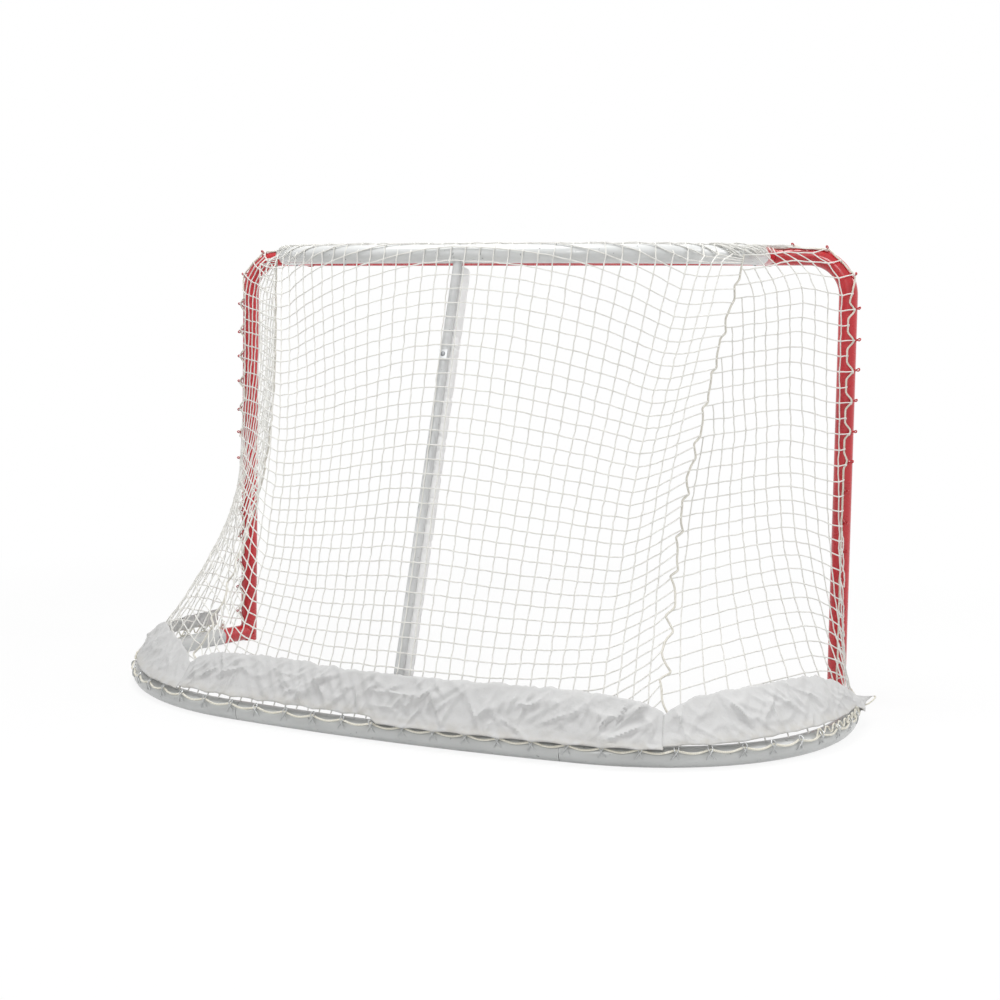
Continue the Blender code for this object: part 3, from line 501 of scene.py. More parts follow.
def drawnMesh(name, groups):
    # groups of (paths, radius, sides); a path's points may carry a fourth number, the share of the radius
    work = bmesh.new()
    for paths, radius, sides in groups:
        curve = bpy.data.curves.new(name, "CURVE")
        curve.dimensions = "3D"
        curve.bevel_depth = radius
        curve.bevel_resolution = (sides - 4) // 2
        curve.use_fill_caps = True
        for path in paths:
            spline = curve.splines.new("POLY")
            spline.points.add(len(path) - 1)
            for spot, point in zip(spline.points, path):
                spot.co = (point[0], point[1], point[2], 1.0)
                spot.radius = point[3] if len(point) > 3 else 1.0
        drawn = addObject(name, curve)
        bpy.context.view_layer.update()
        made = bpy.data.meshes.new_from_object(drawn.evaluated_get(bpy.context.evaluated_depsgraph_get()))
        work.from_mesh(made)
        bpy.data.objects.remove(drawn, do_unlink=True)
        bpy.data.meshes.remove(made)
    bmesh.ops.remove_doubles(work, verts=work.verts, dist=1e-6)
    bmesh.ops.recalc_face_normals(work, faces=work.faces)
    return meshOf(work, name)


def addPiece(name, made, material, slotName, *nodes):
    piece = addObject(name, made)
    made.materials.clear()
    made.materials.append(material)
    made.shade_smooth()
    made.set_sharp_from_angle(angle=radians(40))
    if nodes:
        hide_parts(*nodes)
    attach(piece, "root")
    return piece


def addDrawn(name, groups, material, slotName, *nodes):
    addPiece(name, drawnMesh(name, groups), material, slotName, *nodes)


def smoothed(points, rounds=2):
    # rounds the corners of an open path by cutting them
    for _ in range(rounds):
        cut = [points[0]]
        for a, b in zip(points, points[1:]):
            cut += [a.lerp(b, 0.25), a.lerp(b, 0.75)]
        points = cut + [points[-1]]
    return points


# A base peg's leg: how far along the tube, how many degrees up and how far off the tube each point is.
pegs = {
    "pitch": 0.0833, "firstPost": 0.096, "firstBase": 0.0932, "shelfGap": 0.037,
    "wire": 0.0019, "thinWire": 0.0014, "spread": 0.0095, "crown": 0.0095, "loop": 0.0034,
    "passing": 0.0017, "thinPassing": 0.0009, "skew": 0.2,
    "lowLean": radians(58.0), "leanSpan": (0.55, 0.8), "footTurn": radians(24.0), "footSpan": (1.19, 1.12),
    "baseLeg": (
        (-0.0095, -4, -0.001), (-0.008, 8, 0.0026), (0.0, 27, 0.0078),
        (0.0052, 40, 0.0118), (0.0055, 50, 0.0122),
    ),
    "baseCrown": (0.0, 60, 0.0122),
}
frontJoint = frontLine.whereX(goal["crossbarJoint"], 0.0, frontLine.length)
baseJoint = baseLine.whereX(goal["baseJointX"], *turnSpan)


def pegPlaces(route, first):
    count = int((route.length - 2 * first) / pegs["pitch"])
    spare = (route.length - 2 * first - count * pegs["pitch"]) / 2
    return [first + spare + pegs["pitch"] * k for k in range(count + 1)]


def clearOfShelf(s):
    return abs(abs(frontLine.point(s).x) - goal["shelfHalfWidth"]) > pegs["shelfGap"]


frontPegs = [s for s in pegPlaces(frontLine, pegs["firstPost"]) if clearOfShelf(s)]
basePegs = pegPlaces(baseLine, pegs["firstBase"])


def pegLean(s):
    # low on the left post the pegs are bent further round
    spot = frontLine.point(s)
    if spot.x >= 0:
        return netForm["frontLean"]
    return mix(pegs["lowLean"], netForm["frontLean"], step(*pegs["leanSpan"], spot.z))


def footTurn(s):
    # a peg on the left post starts further round than it ends, and the cord lies at its foot
    spot = frontLine.point(s)
    return pegs["footTurn"] * step(*pegs["footSpan"], spot.z) if spot.x < 0 else 0.0


def crossing(leg, crown):
    # both legs of a wire, each with the way in which it passes the other
    return [(1, p) for p in leg] + [(0.3, crown)] + [(-1, (-p[0], *p[1:])) for p in reversed(leg)]


def pegPath(s):
    # a wire on the front frame that crosses itself over the cord and closes in a small loop
    rng = random.Random(round(s * 5000))
    along = frontLine.tangent(s)
    leaning = pegLean(s) + rng.uniform(-0.1, 0.1)
    slant = along * rng.uniform(-pegs["skew"], pegs["skew"])
    foot, crown = tubeRadius - 0.003, tubeRadius + pegs["crown"]
    spread, loop = pegs["spread"], pegs["loop"] * rng.uniform(0.85, 1.15)
    leg = [(-spread, foot), (-spread * 0.8, foot + 0.005), (0.0, crown - 0.004)]
    leg += [(loop * 0.8, crown + 0.0005), (loop, crown + 0.004)]
    path = []
    for way, (a, b) in crossing(leg, (0.0, crown + loop + 0.0035)):
        out = (frontOut(s, leaning + footTurn(s) * step(crown, foot, b)) + slant).normalized()
        aside = along.cross(out).normalized() * pegs["passing"] * way
        path.append(frontLine.point(s) + along * a + out * b + aside)
    return smoothed(path, 1)


def basePegPath(s):
    # a wire cross on the base tube: its legs start low on the tube and its loop stands over the rope
    slant = random.Random(round(s * 7000)).uniform(-0.0025, 0.0025)
    path = []
    for way, (a, lean, lift) in crossing(pegs["baseLeg"], pegs["baseCrown"]):
        reach = tubeRadius + lift + pegs["thinPassing"] * way
        spot = baseLine.point(s) + baseLine.tangent(s) * (a + slant * lean / 30)
        path.append(spot + reach * baseOut(s, radians(lean)))
    return smoothed(path, 1)


frontFrame = {
    "tubeSides": 28, "wireSides": 6, "bead": 0.0032, "beadTurns": 40, "beadSides": 8, "sunk": 0.0003,
}


def weldPath(start, heading, up):
    # bead where a tube meets another of the same radius, thinner underneath
    side = heading.cross(up).normalized()
    path = []
    for k in range(frontFrame["beadTurns"] + 1):
        turn = 2 * pi * k / frontFrame["beadTurns"]
        spot = start + tubeRadius * (heading * abs(cos(turn)) + cos(turn) * up + sin(turn) * side)
        path.append((*spot, mix(1.0, 0.1, step(0.008, 0.0, spot.z))))
    return path


def addPost(side, word):
    tall = sidedPath(frontLine.between(0.0, frontJoint - goal["jointGap"]), side)
    foot = sidedPath(baseLine.between(0.0, goal["footStub"]), side)
    shelf = sidedPath(shelfLine.between(0.0, goal["shelfStub"]), side)
    footWeld = weldPath(foot[0], (foot[-1] - foot[0]).normalized(), zAxis)
    shelfWeld = weldPath(shelf[0], (shelf[1] - shelf[0]).normalized(), xAxis)
    ends = (0.0, frontJoint) if side > 0 else (frontLine.length - frontJoint, frontLine.length)
    wires = [pegPath(s) for s in frontPegs if ends[0] < s < ends[1]]
    wires += [sidedPath(basePegPath(s), side) for s in basePegs if tubeRadius < s < goal["footStub"]]
    groups = [
        ([tall], tubeRadius, frontFrame["tubeSides"]),
        ([foot, shelf], tubeRadius - frontFrame["sunk"], frontFrame["tubeSides"]),
        ([footWeld, shelfWeld], frontFrame["bead"], frontFrame["beadSides"]),
        (wires, pegs["wire"], frontFrame["wireSides"]),
    ]
    addDrawn(word + "PostTube", groups, red, "red_paint", word + "_post")


def addCrossbar():
    start, end = frontJoint, frontLine.length - frontJoint
    path = frontLine.between(start + goal["jointGap"], end - goal["jointGap"])
    groups = [
        ([path], tubeRadius, frontFrame["tubeSides"]),
        ([pegPath(s) for s in frontPegs if start < s < end], pegs["wire"], frontFrame["wireSides"]),
    ]
    addDrawn("crossbarTube", groups, red, "red_paint", "crossbar")


for side, word in bothSides:
    addPost(side, word)
addCrossbar()
print("front frame drawn")

whiteFrame = {"tubeSides": 28, "wireSides": 6, "openJoint": 0.0009}


def addWhiteTubes():
    sides, gap, slit = whiteFrame["tubeSides"], goal["jointGap"], whiteFrame["openJoint"]
    shelf = shelfLine.between(goal["shelfStub"] + gap, shelfLine.length - goal["shelfStub"] - gap)
    addDrawn("shelfTube", [([shelf], tubeRadius, sides)], white, "white_paint", "shelf_tube")
    half = baseLine.between(goal["footStub"] + gap, baseJoint - slit)
    for side, word in bothSides:
        groups = [([sidedPath(half, side)], tubeRadius, sides)]
        addDrawn(word + "BaseTube", groups, baseWhitePaintedShade, "white_paint", word + "_base_tube")
    rear = baseLine.between(baseJoint + slit, baseLine.length - baseJoint - slit)
    addDrawn("rearTube", [([rear], tubeRadius, sides)], baseWhitePaintedShade, "white_paint", "base_rear_tube")
    wires = [basePegPath(s) for s in basePegs if goal["footStub"] < s < baseLine.length - goal["footStub"]]
    addDrawn("basePegs", [(wires, pegs["thinWire"], whiteFrame["wireSides"])], pegWire, "white_paint")
    bar = [barTop + barDown * (tubeRadius + gap), barFoot - barDown * (tubeRadius + gap)]
    addDrawn("centreBar", [([bar], goal["barRadius"], sides)], barWhitePaintedShade, "white_paint", "centre_bar")


addWhiteTubes()
print("white tubes drawn")

lacing = {
    "cord": 0.0025, "bulge": radians(54.0), "topBulge": radians(14.0), "bulgeSpan": (1.19, 1.10),
    "slip": 0.026, "clear": 0.0008, "sides": 8, "ends": 0.06, "step": 0.006,
}


def lacePoint(s):
    # the cord is held out at the pegs and pulled round the tube between them
    near = min(abs(s - peg) for peg in frontPegs)
    share = step(0.0, lacing["slip"], near)
    onPost = step(*lacing["bulgeSpan"], frontLine.point(s).z)
    pulled = netForm["frontLean"] + mix(lacing["topBulge"], lacing["bulge"], onPost)
    reach = mix(netForm["laceReach"], tubeRadius + lacing["cord"] + lacing["clear"], share)
    return frontLine.point(s) + reach * frontOut(s, mix(pegLean(s) + footTurn(s), pulled, share))


def laceAt(s, side):
    # the lacing of either side, in the right side's form
    return sided(lacePoint(s if side > 0 else frontLine.length - s), side)


def strung(spotAt, route, form):
    # a cord's path along a route, short of both ends of it
    first, last = form["ends"], route.length - form["ends"]
    count = int((last - first) / form["step"])
    return [spotAt(mix(first, last, k / count)) for k in range(count + 1)]


frontCord = strung(lacePoint, frontLine, lacing)
addDrawn("frontLace", [([frontCord], lacing["cord"], lacing["sides"])], rope, "lacing_rope", "front_lacing")

net = {
    "columns": 19, "rowPitch": 0.039, "firstRow": 0.0205, "aside": 0.31, "crowding": 0.045,
    "drop": 0.28, "dropBend": {1: 1.6, -1: 2.3}, "dropFade": 0.9, "rim": 0.006, "edge": 0.004, "beyond": 0.2,
    "postPitch": 0.0428, "sidePitch": 0.0415, "seamRise": {1: 0.010, -1: 0.042}, "riseSpan": (0.0, 0.45),
    "rowsBelow": 3, "topSpan": (-0.12, 0.04), "dip": 0.018, "dipSpan": (0.3, 0.05),
    "arch": 0.085, "archStart": 0.55, "archEnd": 0.85, "archBlunt": 0.7, "widenAt": 0.45, "lowest": 0.985,
    "cord": 0.00185, "sides": 6, "knot": 1.35, "knotReach": 0.13, "slim": 0.95,
    "jitter": 0.0014, "kink": 0.0014, "seed": 4,
}


def shaken(rng, reach):
    return Vector([rng.uniform(-1, 1) for _ in range(3)]) * reach


def cordAlong(nodes, knotted, rng):
    # a cord through the knots, with a slight kink between them and a thicker spot at each
    path = []
    for a, b in zip(nodes, nodes[1:]):
        middle = (*(a.lerp(b, 0.5) + shaken(rng, net["kink"])), net["slim"])
        if knotted:
            near, far = a.lerp(b, net["knotReach"]), a.lerp(b, 1 - net["knotReach"])
            path += [(*a, net["knot"]), (*near, 1.0), middle, (*far, 1.0)]
        else:
            path += [(*a, 1.0), middle]
    return path + [(*nodes[-1], 1.0)]


def jittered(point, rng):
    return point + shaken(rng, net["jitter"])


def sideRows():
    pitch = net["postPitch"] / lacedLength
    return [1 - k * pitch for k in range(int(1 / pitch), -net["rowsBelow"] - 1, -1)]


def sideRowLevel(u, v, side):
    # rows rise from the post to the seam, dip between them high up and arch between them low down
    arch = net["arch"] * max(v - net["archStart"], 0.0) / (1 - net["archStart"])
    arch -= net["dip"] * step(*net["dipSpan"], v)
    shift = net["seamRise"][side] * step(*net["riseSpan"], u)
    shift += arch * sin(pi * net["archEnd"] * min(u, 1.0)) ** net["archBlunt"]
    return v - shift * step(*net["topSpan"], v)


def sideRowPoint(u, v, side):
    return sidePoint(u, sideRowLevel(u, v, side), side)


def rowLength(v, side):
    return Route([sideRowPoint(k / 24, v, side) for k in range(25)]).length


# The seam cord stays near a column for a share of each turn, then takes a stair to the next one.
seamCord = {
    "cord": 0.0030, "sides": 8, "samples": 220, "phase": {1: 0.35, -1: 0.1}, "waver": 0.16, "waverRate": 5,
    "stay": 0.72, "stair": 0.021, "width": 0.62, "startHeld": 0.06, "endHeld": 0.93,
}


def seamPoint(v, side):
    # the seam cord runs along a column for two rows and then steps inwards to the next one
    turn = v * lacedLength / (2 * net["postPitch"]) + seamCord["phase"][side]
    turn += seamCord["waver"] * sin(seamCord["waverRate"] * turn)
    whole, stay = turn - floor(turn), seamCord["stay"]
    swing = mix(0.5, -0.5, whole / stay) if whole < stay else step(stay, 1.0, whole) - 0.5
    held = step(0.0, seamCord["startHeld"], v) * step(1.0, seamCord["endHeld"], v)
    return sidePoint(1 + seamCord["stair"] * swing * held / seamCord["width"], v, side)


seamShares = [k / seamCord["samples"] for k in range(seamCord["samples"] + 1)]
seamSamples = {side: [seamPoint(v, side) for v in seamShares] for side in (1, -1)}


def seamSpot(level, side):
    # the seam cord's place at a height, in the right side's form
    return min(seamSamples[side], key=lambda p: abs(p.z - level))


def sideNetPaths(side):
    rng = random.Random(net["seed"] + side)
    rows = sideRows()
    middle = rowLength(net["widenAt"], side)
    knots, paths = {}, []
    for index, v in enumerate(rows):
        # below the middle the meshes widen and no column is added
        length = rowLength(v, side) if v < net["widenAt"] else middle
        last = floor(length / net["sidePitch"] - 0.3)
        nodes = []
        if v <= 1:
            hook = laceAt(postEdgeAt(v), side)
            nodes = [hook + Vector((0, 0.0015, -0.004)), hook + Vector((0.003, 0.003, 0.001))]
        for column in range(1, last + 1):
            u = column * net["sidePitch"] / length
            # the lowest rows end where they meet the border
            if sideRowLevel(u, v, side) < net["lowest"]:
                knots[(column, index)] = jittered(sideRowPoint(u, v, side), rng)
                nodes.append(knots[(column, index)])
        if sideRowLevel(1.0, v, side) < net["lowest"]:
            nodes.append(seamSpot(sideRowPoint(1.0, v, side).z, side))
        if len(nodes) > 1:
            paths.append(cordAlong(sidedPath(nodes, side), False, rng))
    for column in range(1, max(c for c, _ in knots) + 1):
        nodes = [knots[(column, index)] for index in range(len(rows)) if (column, index) in knots]
        nodes.append(sidePoint(min(column * net["sidePitch"] / middle, 0.99), 1.0, side))
        if len(nodes) > 2:
            paths.append(cordAlong(sidedPath(nodes, side), True, rng))
    return paths + cornerPaths(side, rng) + doubledPaths(side, rng)


# Where along the shelf and how far round it the cords from the front lacing rest and end.
overShelf = {
    "below": 0.02, "lastX": 0.735, "rest": (0.03, 0.20), "restTurn": (60, 85), "restLift": 0.0035,
    "end": (0.05, 0.22), "endTurn": 20.0, "endLift": 0.003, "rows": (0.35, 0.75),
}


def cornerPaths(side, rng):
    # the side net goes on over the shelf's end to the lacing on the corner and the crossbar
    first = topLace - overShelf["below"]
    last = frontLine.whereX(overShelf["lastX"], 0.0, frontLine.length / 2)
    tops, rests, paths = [], [], []
    for k in range(5):
        turn = radians(mix(*overShelf["restTurn"], k / 4))
        top = laceAt(mix(first, last, k / 4), side)
        rest = shelfEdge(mix(*overShelf["rest"], k / 4), turn, overShelf["restLift"])
        end = shelfEdge(mix(*overShelf["end"], k / 4), radians(overShelf["endTurn"]), overShelf["endLift"])
        path = [jittered(p, rng) for p in (top, top.lerp(rest, 0.5) + zAxis * 0.002, rest, end)]
        paths.append(cordAlong(sidedPath(path, side), False, rng))
        tops.append(top)
        rests.append(rest)
    for share in overShelf["rows"]:
        path = [jittered(a.lerp(b, share) + zAxis * 0.001, rng) for a, b in zip(tops, rests)]
        paths.append(cordAlong(sidedPath(path, side), True, rng))
    return paths


doubled = {
    "count": 9, "first": 0.085, "pitch": 0.0445, "climb": 0.046,
    "inward": 0.03, "spread": 0.01, "sink": 0.012,
}


def doubledPaths(side, rng):
    # low down the rows are caught to the post a second time, on a slant
    paths = []
    for k in range(doubled["count"]):
        s = doubled["first"] + doubled["pitch"] * k
        inner = sidePoint(doubled["inward"] + doubled["spread"] * (k % 3), (topLace - s) / lacedLength, side)
        top = laceAt(s + doubled["climb"], side)
        path = [inner - zAxis * doubled["sink"], inner.lerp(top, 0.5) + Vector((0.006, 0.004, 0)), top]
        paths.append(cordAlong(sidedPath(smoothed(path, 1), side), False, rng))
    return paths


for side, word in bothSides:
    groups = [(sideNetPaths(side), net["cord"], net["sides"])]
    addDrawn(word + "SideMesh", groups, twine, "net_twine", word + "_side_net")
print("side nets drawn")


def backColumn(index):
    # a column's line over the shelf to the base, and how far along it the shelf is
    last = net["columns"]
    place = (index + net["aside"] * (1 - abs(index) / last)) / last
    u = 0.5 - 0.5 * place * (1 - net["crowding"] * (1 - place * place))
    rear = shelfEdge(shelfAt(u), radians(90.0))
    rim = net["rim"]
    front = Vector((place * (seamTop.x + 0.004), goal["mouthY"] + rim, goal["barHeight"] + tubeRadius + rim))
    over = [front.lerp(rear, k / 16) - zAxis * netForm["topSag"] * sin(pi * k / 16) for k in range(17)]
    over += [shelfEdge(shelfAt(u), radians(90 - 9 * k)) for k in range(1, 11)]
    return Route(over + [backPoint(u, k / 60) for k in range(1, 61)]), Route(over).length


def backRowPlace(index, at, columns):
    # how far along a column lies the row that is at a given length from the shelf on the bar
    over = columns[index][1]
    middle, middleOver = columns[0]
    share, bend = abs(index) / net["columns"], net["dropBend"][1 if index > 0 else -1]
    if at < 0:
        return over + at + mix(net["drop"] * share**bend, middleOver - over, -at / middleOver)
    depth = min(at / (middle.length - middleOver), 1.0)
    return over + at + net["drop"] * (1 - depth) ** net["dropFade"] * share ** (bend + depth**3)


def addBackNet():
    rng = random.Random(net["seed"])
    last, pitch = net["columns"], net["rowPitch"]
    columns = {index: backColumn(index) for index in range(-last, last + 1)}
    middle, over = columns[0]
    start = net["firstRow"] - pitch * int((net["firstRow"] + over - 2 * net["rim"]) / pitch)
    places = [start + pitch * k for k in range(int((middle.length - over + net["beyond"] - start) / pitch))]
    knots = {}
    for index, (route, onShelf) in columns.items():
        for row, at in enumerate(places):
            s = backRowPlace(index, at, columns)
            if net["edge"] < s < route.length - net["edge"]:
                spot, side = route.point(s), 1 if index > 0 else -1
                if abs(index) == last and s > onShelf:
                    knots[(index, row)] = sided(seamSpot(spot.z, side), side)
                else:
                    knots[(index, row)] = jittered(spot, rng)
    paths = []
    for index in range(-last + 1, last):
        route = columns[index][0]
        nodes = [knots[(index, row)] for row in range(len(places)) if (index, row) in knots]
        paths.append(cordAlong([route.point(0.0)] + nodes + [route.point(route.length)], True, rng))
    for row in range(len(places)):
        run = []
        for index in range(-last, last + 2):
            if (index, row) in knots:
                run.append(knots[(index, row)])
            elif run:
                if len(run) > 1:
                    paths.append(cordAlong(run, False, rng))
                run = []
    groups = [(paths + bundlePaths(rng), net["cord"], net["sides"])]
    addDrawn("backMesh", groups, twine, "net_twine", "back_net", "top_net")


# Spare net over the shelf's ends: lengths in metres and turns in degrees, each between two ends.
bundle = {
    "cords": 22, "start": (0.10, 0.30), "run": (0.03, 0.09),
    "lean": (-10, 60), "turn": (30, 75), "lift": 0.004,
}


def bundlePaths(rng):
    # spare net gathered over the shelf's ends, where the panels meet
    paths = []
    for side in (1, -1):
        for _ in range(bundle["cords"]):
            start, run, lean, turn = [rng.uniform(*bundle[key]) for key in ("start", "run", "lean", "turn")]
            path = []
            for k in range(7):
                lift = bundle["lift"] * (1 + sin(pi * k / 6) * rng.uniform(0.2, 1.0))
                path.append(sided(shelfEdge(start + run * k / 6, radians(lean + turn * k / 6), lift), side))
            paths.append(smoothed(path, 1))
    return paths


addBackNet()
print("back and top nets drawn")

for side, word in bothSides:
    cord = smoothed(sidedPath(seamSamples[side], side), 1)
    groups = [([cord], seamCord["cord"], seamCord["sides"])]
    addDrawn(word + "SeamLace", groups, seamYarn, "seam_twine", word + "_seam_cord")

# Corners of the left canvas's free end: length along the base, reach from its line and height.
flap = {"length": 0.06, "tip": (0.19, 0.070, 0.062), "heel": (0.23, 0.024, 0.030), "loopReach": 0.010}


def flapCorner(name):
    s, reach, high = flap[name]
    spot = baseLine.point(s) + outwardOf(baseLine, s) * reach
    return Vector((spot.x, spot.y, high))


border = {
    "cord": 0.0028, "sides": 8, "ends": 0.0466, "step": 0.008, "sag": radians(17.0), "thin": 0.0021,
    "thinSides": 6, "thinSpan": (0.09, 0.62), "thinStep": 0.017, "thinRise": 0.014, "thinReach": 0.008,
}


def borderPoint(s):
    near = min(abs(s - peg) for peg in basePegs)
    share = sin(min(near / pegs["pitch"], 0.5) * pi)
    return baseLine.point(s) + netForm["laceReach"] * baseOut(s, netForm["baseLean"] - border["sag"] * share)


def zigzagPath(side):
    # a thinner cord laces the side canvases to the rope
    path, (s, end), k = [], border["thinSpan"], 0
    while s < end:
        spot = borderPoint(s)
        if k % 2 == 0:
            spot = baseEdge(s) + zAxis * border["thinRise"] + outwardOf(baseLine, s) * border["thinReach"]
        path.append(sided(spot, side))
        s += border["thinStep"]
        k += 1
    return smoothed(path, 1)


def tipLoop():
    # a cord loop at the tip of the left canvas
    tip, heel = flapCorner("tip"), flapCorner("heel")
    out = outwardOf(baseLine, flap["tip"][0]) * flap["loopReach"]
    loop = [tip, tip.lerp(heel, 0.05) + out, tip.lerp(heel, 0.55) + out, tip.lerp(heel, 0.62)]
    return sidedPath(smoothed(loop), -1)


borderCord = strung(borderPoint, baseLine, border)
thinCords = [zigzagPath(1), zigzagPath(-1), tipLoop()]
groups = [([borderCord], border["cord"], border["sides"]), (thinCords, border["thin"], border["thinSides"])]
addDrawn("borderRope", groups, rope, "lacing_rope", "base_lacing")
print("cords drawn")

# The notches at a canvas's ends are shares of its height; low and full say how high it is along its length.
skirts = {
    "rear": {
        "height": 0.116, "ends": (0.40, 0.40), "start": 0.0, "low": 1.0, "full": (0.0, 0.1),
        "crumple": 1.4, "gather": 0.0052, "seed": 8,
    },
    "left": {
        "height": 0.122, "ends": (0.0, 0.42), "start": 0.2, "low": 0.08, "full": (0.12, 0.55),
        "crumple": 1.15, "gather": 0.0, "seed": 5,
    },
    "right": {
        "height": 0.118, "ends": (0.0, 0.40), "start": 0.08, "low": 0.5, "full": (0.35, 0.72),
        "crumple": 1.1, "gather": 0.0, "seed": 6,
    },
    "notchReach": 0.07, "step": 0.0045, "lift": 0.0045, "thickness": 0.0012, "meeting": 0.02,
    "puff": 0.007, "foldsPerMetre": 110, "foldReach": 0.09, "ridge": 0.0038, "hemLift": 0.0055,
    "gathers": (0.16, 0.30, 0.56, 0.70), "gatherPitch": 0.037,
}


def foldField(width, height, rng, strength):
    # soft folds and sharp creases of stiff cloth: each one is a short slanting ridge
    made = []
    for _ in range(int(width * skirts["foldsPerMetre"])):
        slant = rng.choice((1, 1, 1, -1)) * rng.uniform(0.35, 1.35)
        place = (rng.uniform(0, width), rng.uniform(0.1, 0.95) * height)
        reach, broad, high = rng.uniform(0.02, 0.06), rng.uniform(0.0035, 0.010), rng.uniform(0.002, 0.0065)
        made.append((*place, slant, reach, broad, strength * high))

    def lift(x, y):
        total = 0.0
        for cx, cy, slant, reach, broad, high in made:
            dx, dy = x - cx, y - cy
            if abs(dx) > skirts["foldReach"] or abs(dy) > skirts["foldReach"]:
                continue
            along = dx * cos(slant) + dy * sin(slant)
            off = dy * cos(slant) - dx * sin(slant)
            wide = broad if off > 0 else broad * 0.45
            total += high * exp(-abs(off / wide) ** 1.3) * exp(-(along / reach) ** 2)
        return total

    return lift


class Skirt:
    # one canvas: the panel that it hangs on, and where its length and height fall on it
    def __init__(self, kind):
        self.form = skirts[kind]
        self.rear = kind == "rear"
        self.side = -1 if kind == "left" else 1
        self.flap = flap["length"] if kind == "left" else 0.0
        self.width = Route([self.spot(k / 60, 1.0) for k in range(61)]).length
        self.tall = Route([self.spot(0.5, 1 - k / 8) for k in range(9)]).length
        rng = random.Random(self.form["seed"])
        self.folds = foldField(self.width, self.form["height"], rng, self.form["crumple"])

    def spot(self, share, level):
        return backPoint(share, level) if self.rear else sidePoint(share, level, self.side)

    def borderAt(self, share):
        return baseAt(share) if self.rear else sideBaseAt(share, self.side)

    def hemDrop(self, x):
        # how far the lower hem hangs below the border's line, scalloped between the pegs
        share = x / self.width
        near = min(abs(self.borderAt(share) - peg) for peg in basePegs) / pegs["pitch"]
        scallop = 0.004 * sin(pi * min(near, 0.5))
        if self.rear:
            return mix(-0.003, 0.017, step(0.452, 0.474, share)) - scallop
        drop = mix(-0.006, 0.004, step(0.62, 0.9, share)) - scallop * 0.5
        return drop if self.side > 0 else mix(0.034, drop, step(0.20, 0.30, x))

    def surface(self, share, rise):
        # below the border's line the cloth hangs round the base tube
        if rise >= 0:
            return self.spot(share, 1 - rise / self.tall)
        lean = netForm["baseLean"] + netForm["edgeTurn"] + rise / netForm["laceReach"]
        s = self.borderAt(share)
        return baseLine.point(s) + netForm["laceReach"] * baseOut(s, lean)

    def normal(self, share, level, reach=0.01):
        sideways = self.spot(min(share + reach, 1.0), level) - self.spot(max(share - reach, 0.0), level)
        down = self.spot(share, min(level + reach, 1.0)) - self.spot(share, level - reach)
        return down.cross(sideways).normalized()

    def gather(self, x, rise):
        # slanting folds where the rear canvas is drawn together
        begin, full, still, end = skirts["gathers"]
        bend = 2.5 * noise.noise(Vector((x * 9, rise * 4, 0.7)))
        wave = sin(2 * pi * (x + 0.6 * rise) / skirts["gatherPitch"] + bend)
        return self.form["gather"] * (0.5 + 0.5 * wave) ** 1.5 * step(begin, full, x) * step(end, still, x)

    def relief(self, x, rise):
        seed = self.form["seed"]
        billow = skirts["puff"] * (0.5 + noise.noise(Vector((x * 9, rise * 6, seed))))
        crease = noise.noise(Vector((x * 15 + rise * 9, rise * 20 - x * 3, seed + 0.5)))
        ridge = skirts["ridge"] * self.form["crumple"] * max(0.0, 1 - 3.2 * abs(crease)) ** 1.5
        return billow + ridge + self.gather(x, rise) + self.folds(x, rise)

    def point(self, x, y):
        # x along the canvas, y from 0 at the hem to 1 at the top edge
        share = min(x / self.width, 1.0)
        notches = zip(self.form["ends"], (x, self.width - x))
        dip = sum(deep * exp(-away / skirts["notchReach"]) for deep, away in notches)
        ragged = 0.006 * noise.noise(Vector((x * 22, 3.3, 1.0)))
        ragged += 0.003 * noise.noise(Vector((x * 75, 8.3, 1.0)))
        full = mix(self.form["low"], 1.0, step(*self.form["full"], x))
        rise = mix(-self.hemDrop(x), self.form["height"] * (1 - dip) * full + ragged, y)
        normal = self.normal(share, 1 - max(rise, 0.002) / self.tall)
        free = 1.0
        # the canvases meet along the seams
        meetings = [(1, x), (-1, self.width - x)] if self.rear else [(self.side, self.width - x)]
        for side, away in meetings:
            seamOut = outwardOf(baseLine, seamBaseAt[side])
            seamOut = sided(seamOut, side) if self.rear else seamOut
            normal = normal.lerp(seamOut + zAxis * 0.35, exp(-away / skirts["meeting"])).normalized()
            free *= 1 - exp(-((away / skirts["meeting"]) ** 2))
        held = (0.25 + 0.75 * sin(pi * min(max(y, 0.0), 1.0)) ** 0.7) * free
        low = skirts["hemLift"] * step(0.03, 0.0, rise)
        return self.surface(share, rise) + normal * (skirts["lift"] + low + self.relief(x, rise) * held)

    def flapPoint(self, share, y):
        # the free end of the left canvas stands out from the tube to a tip
        start, near = self.point(self.form["start"], y), self.point(self.form["start"] + 0.004, y)
        end = flapCorner("heel").lerp(flapCorner("tip"), y)
        ahead = start + (start - near).normalized() * 0.02
        bent = start.lerp(ahead, share).lerp(ahead.lerp(end, share), share)
        return bent + xAxis * 0.003 * sin(9 * share + 3 * y) * share


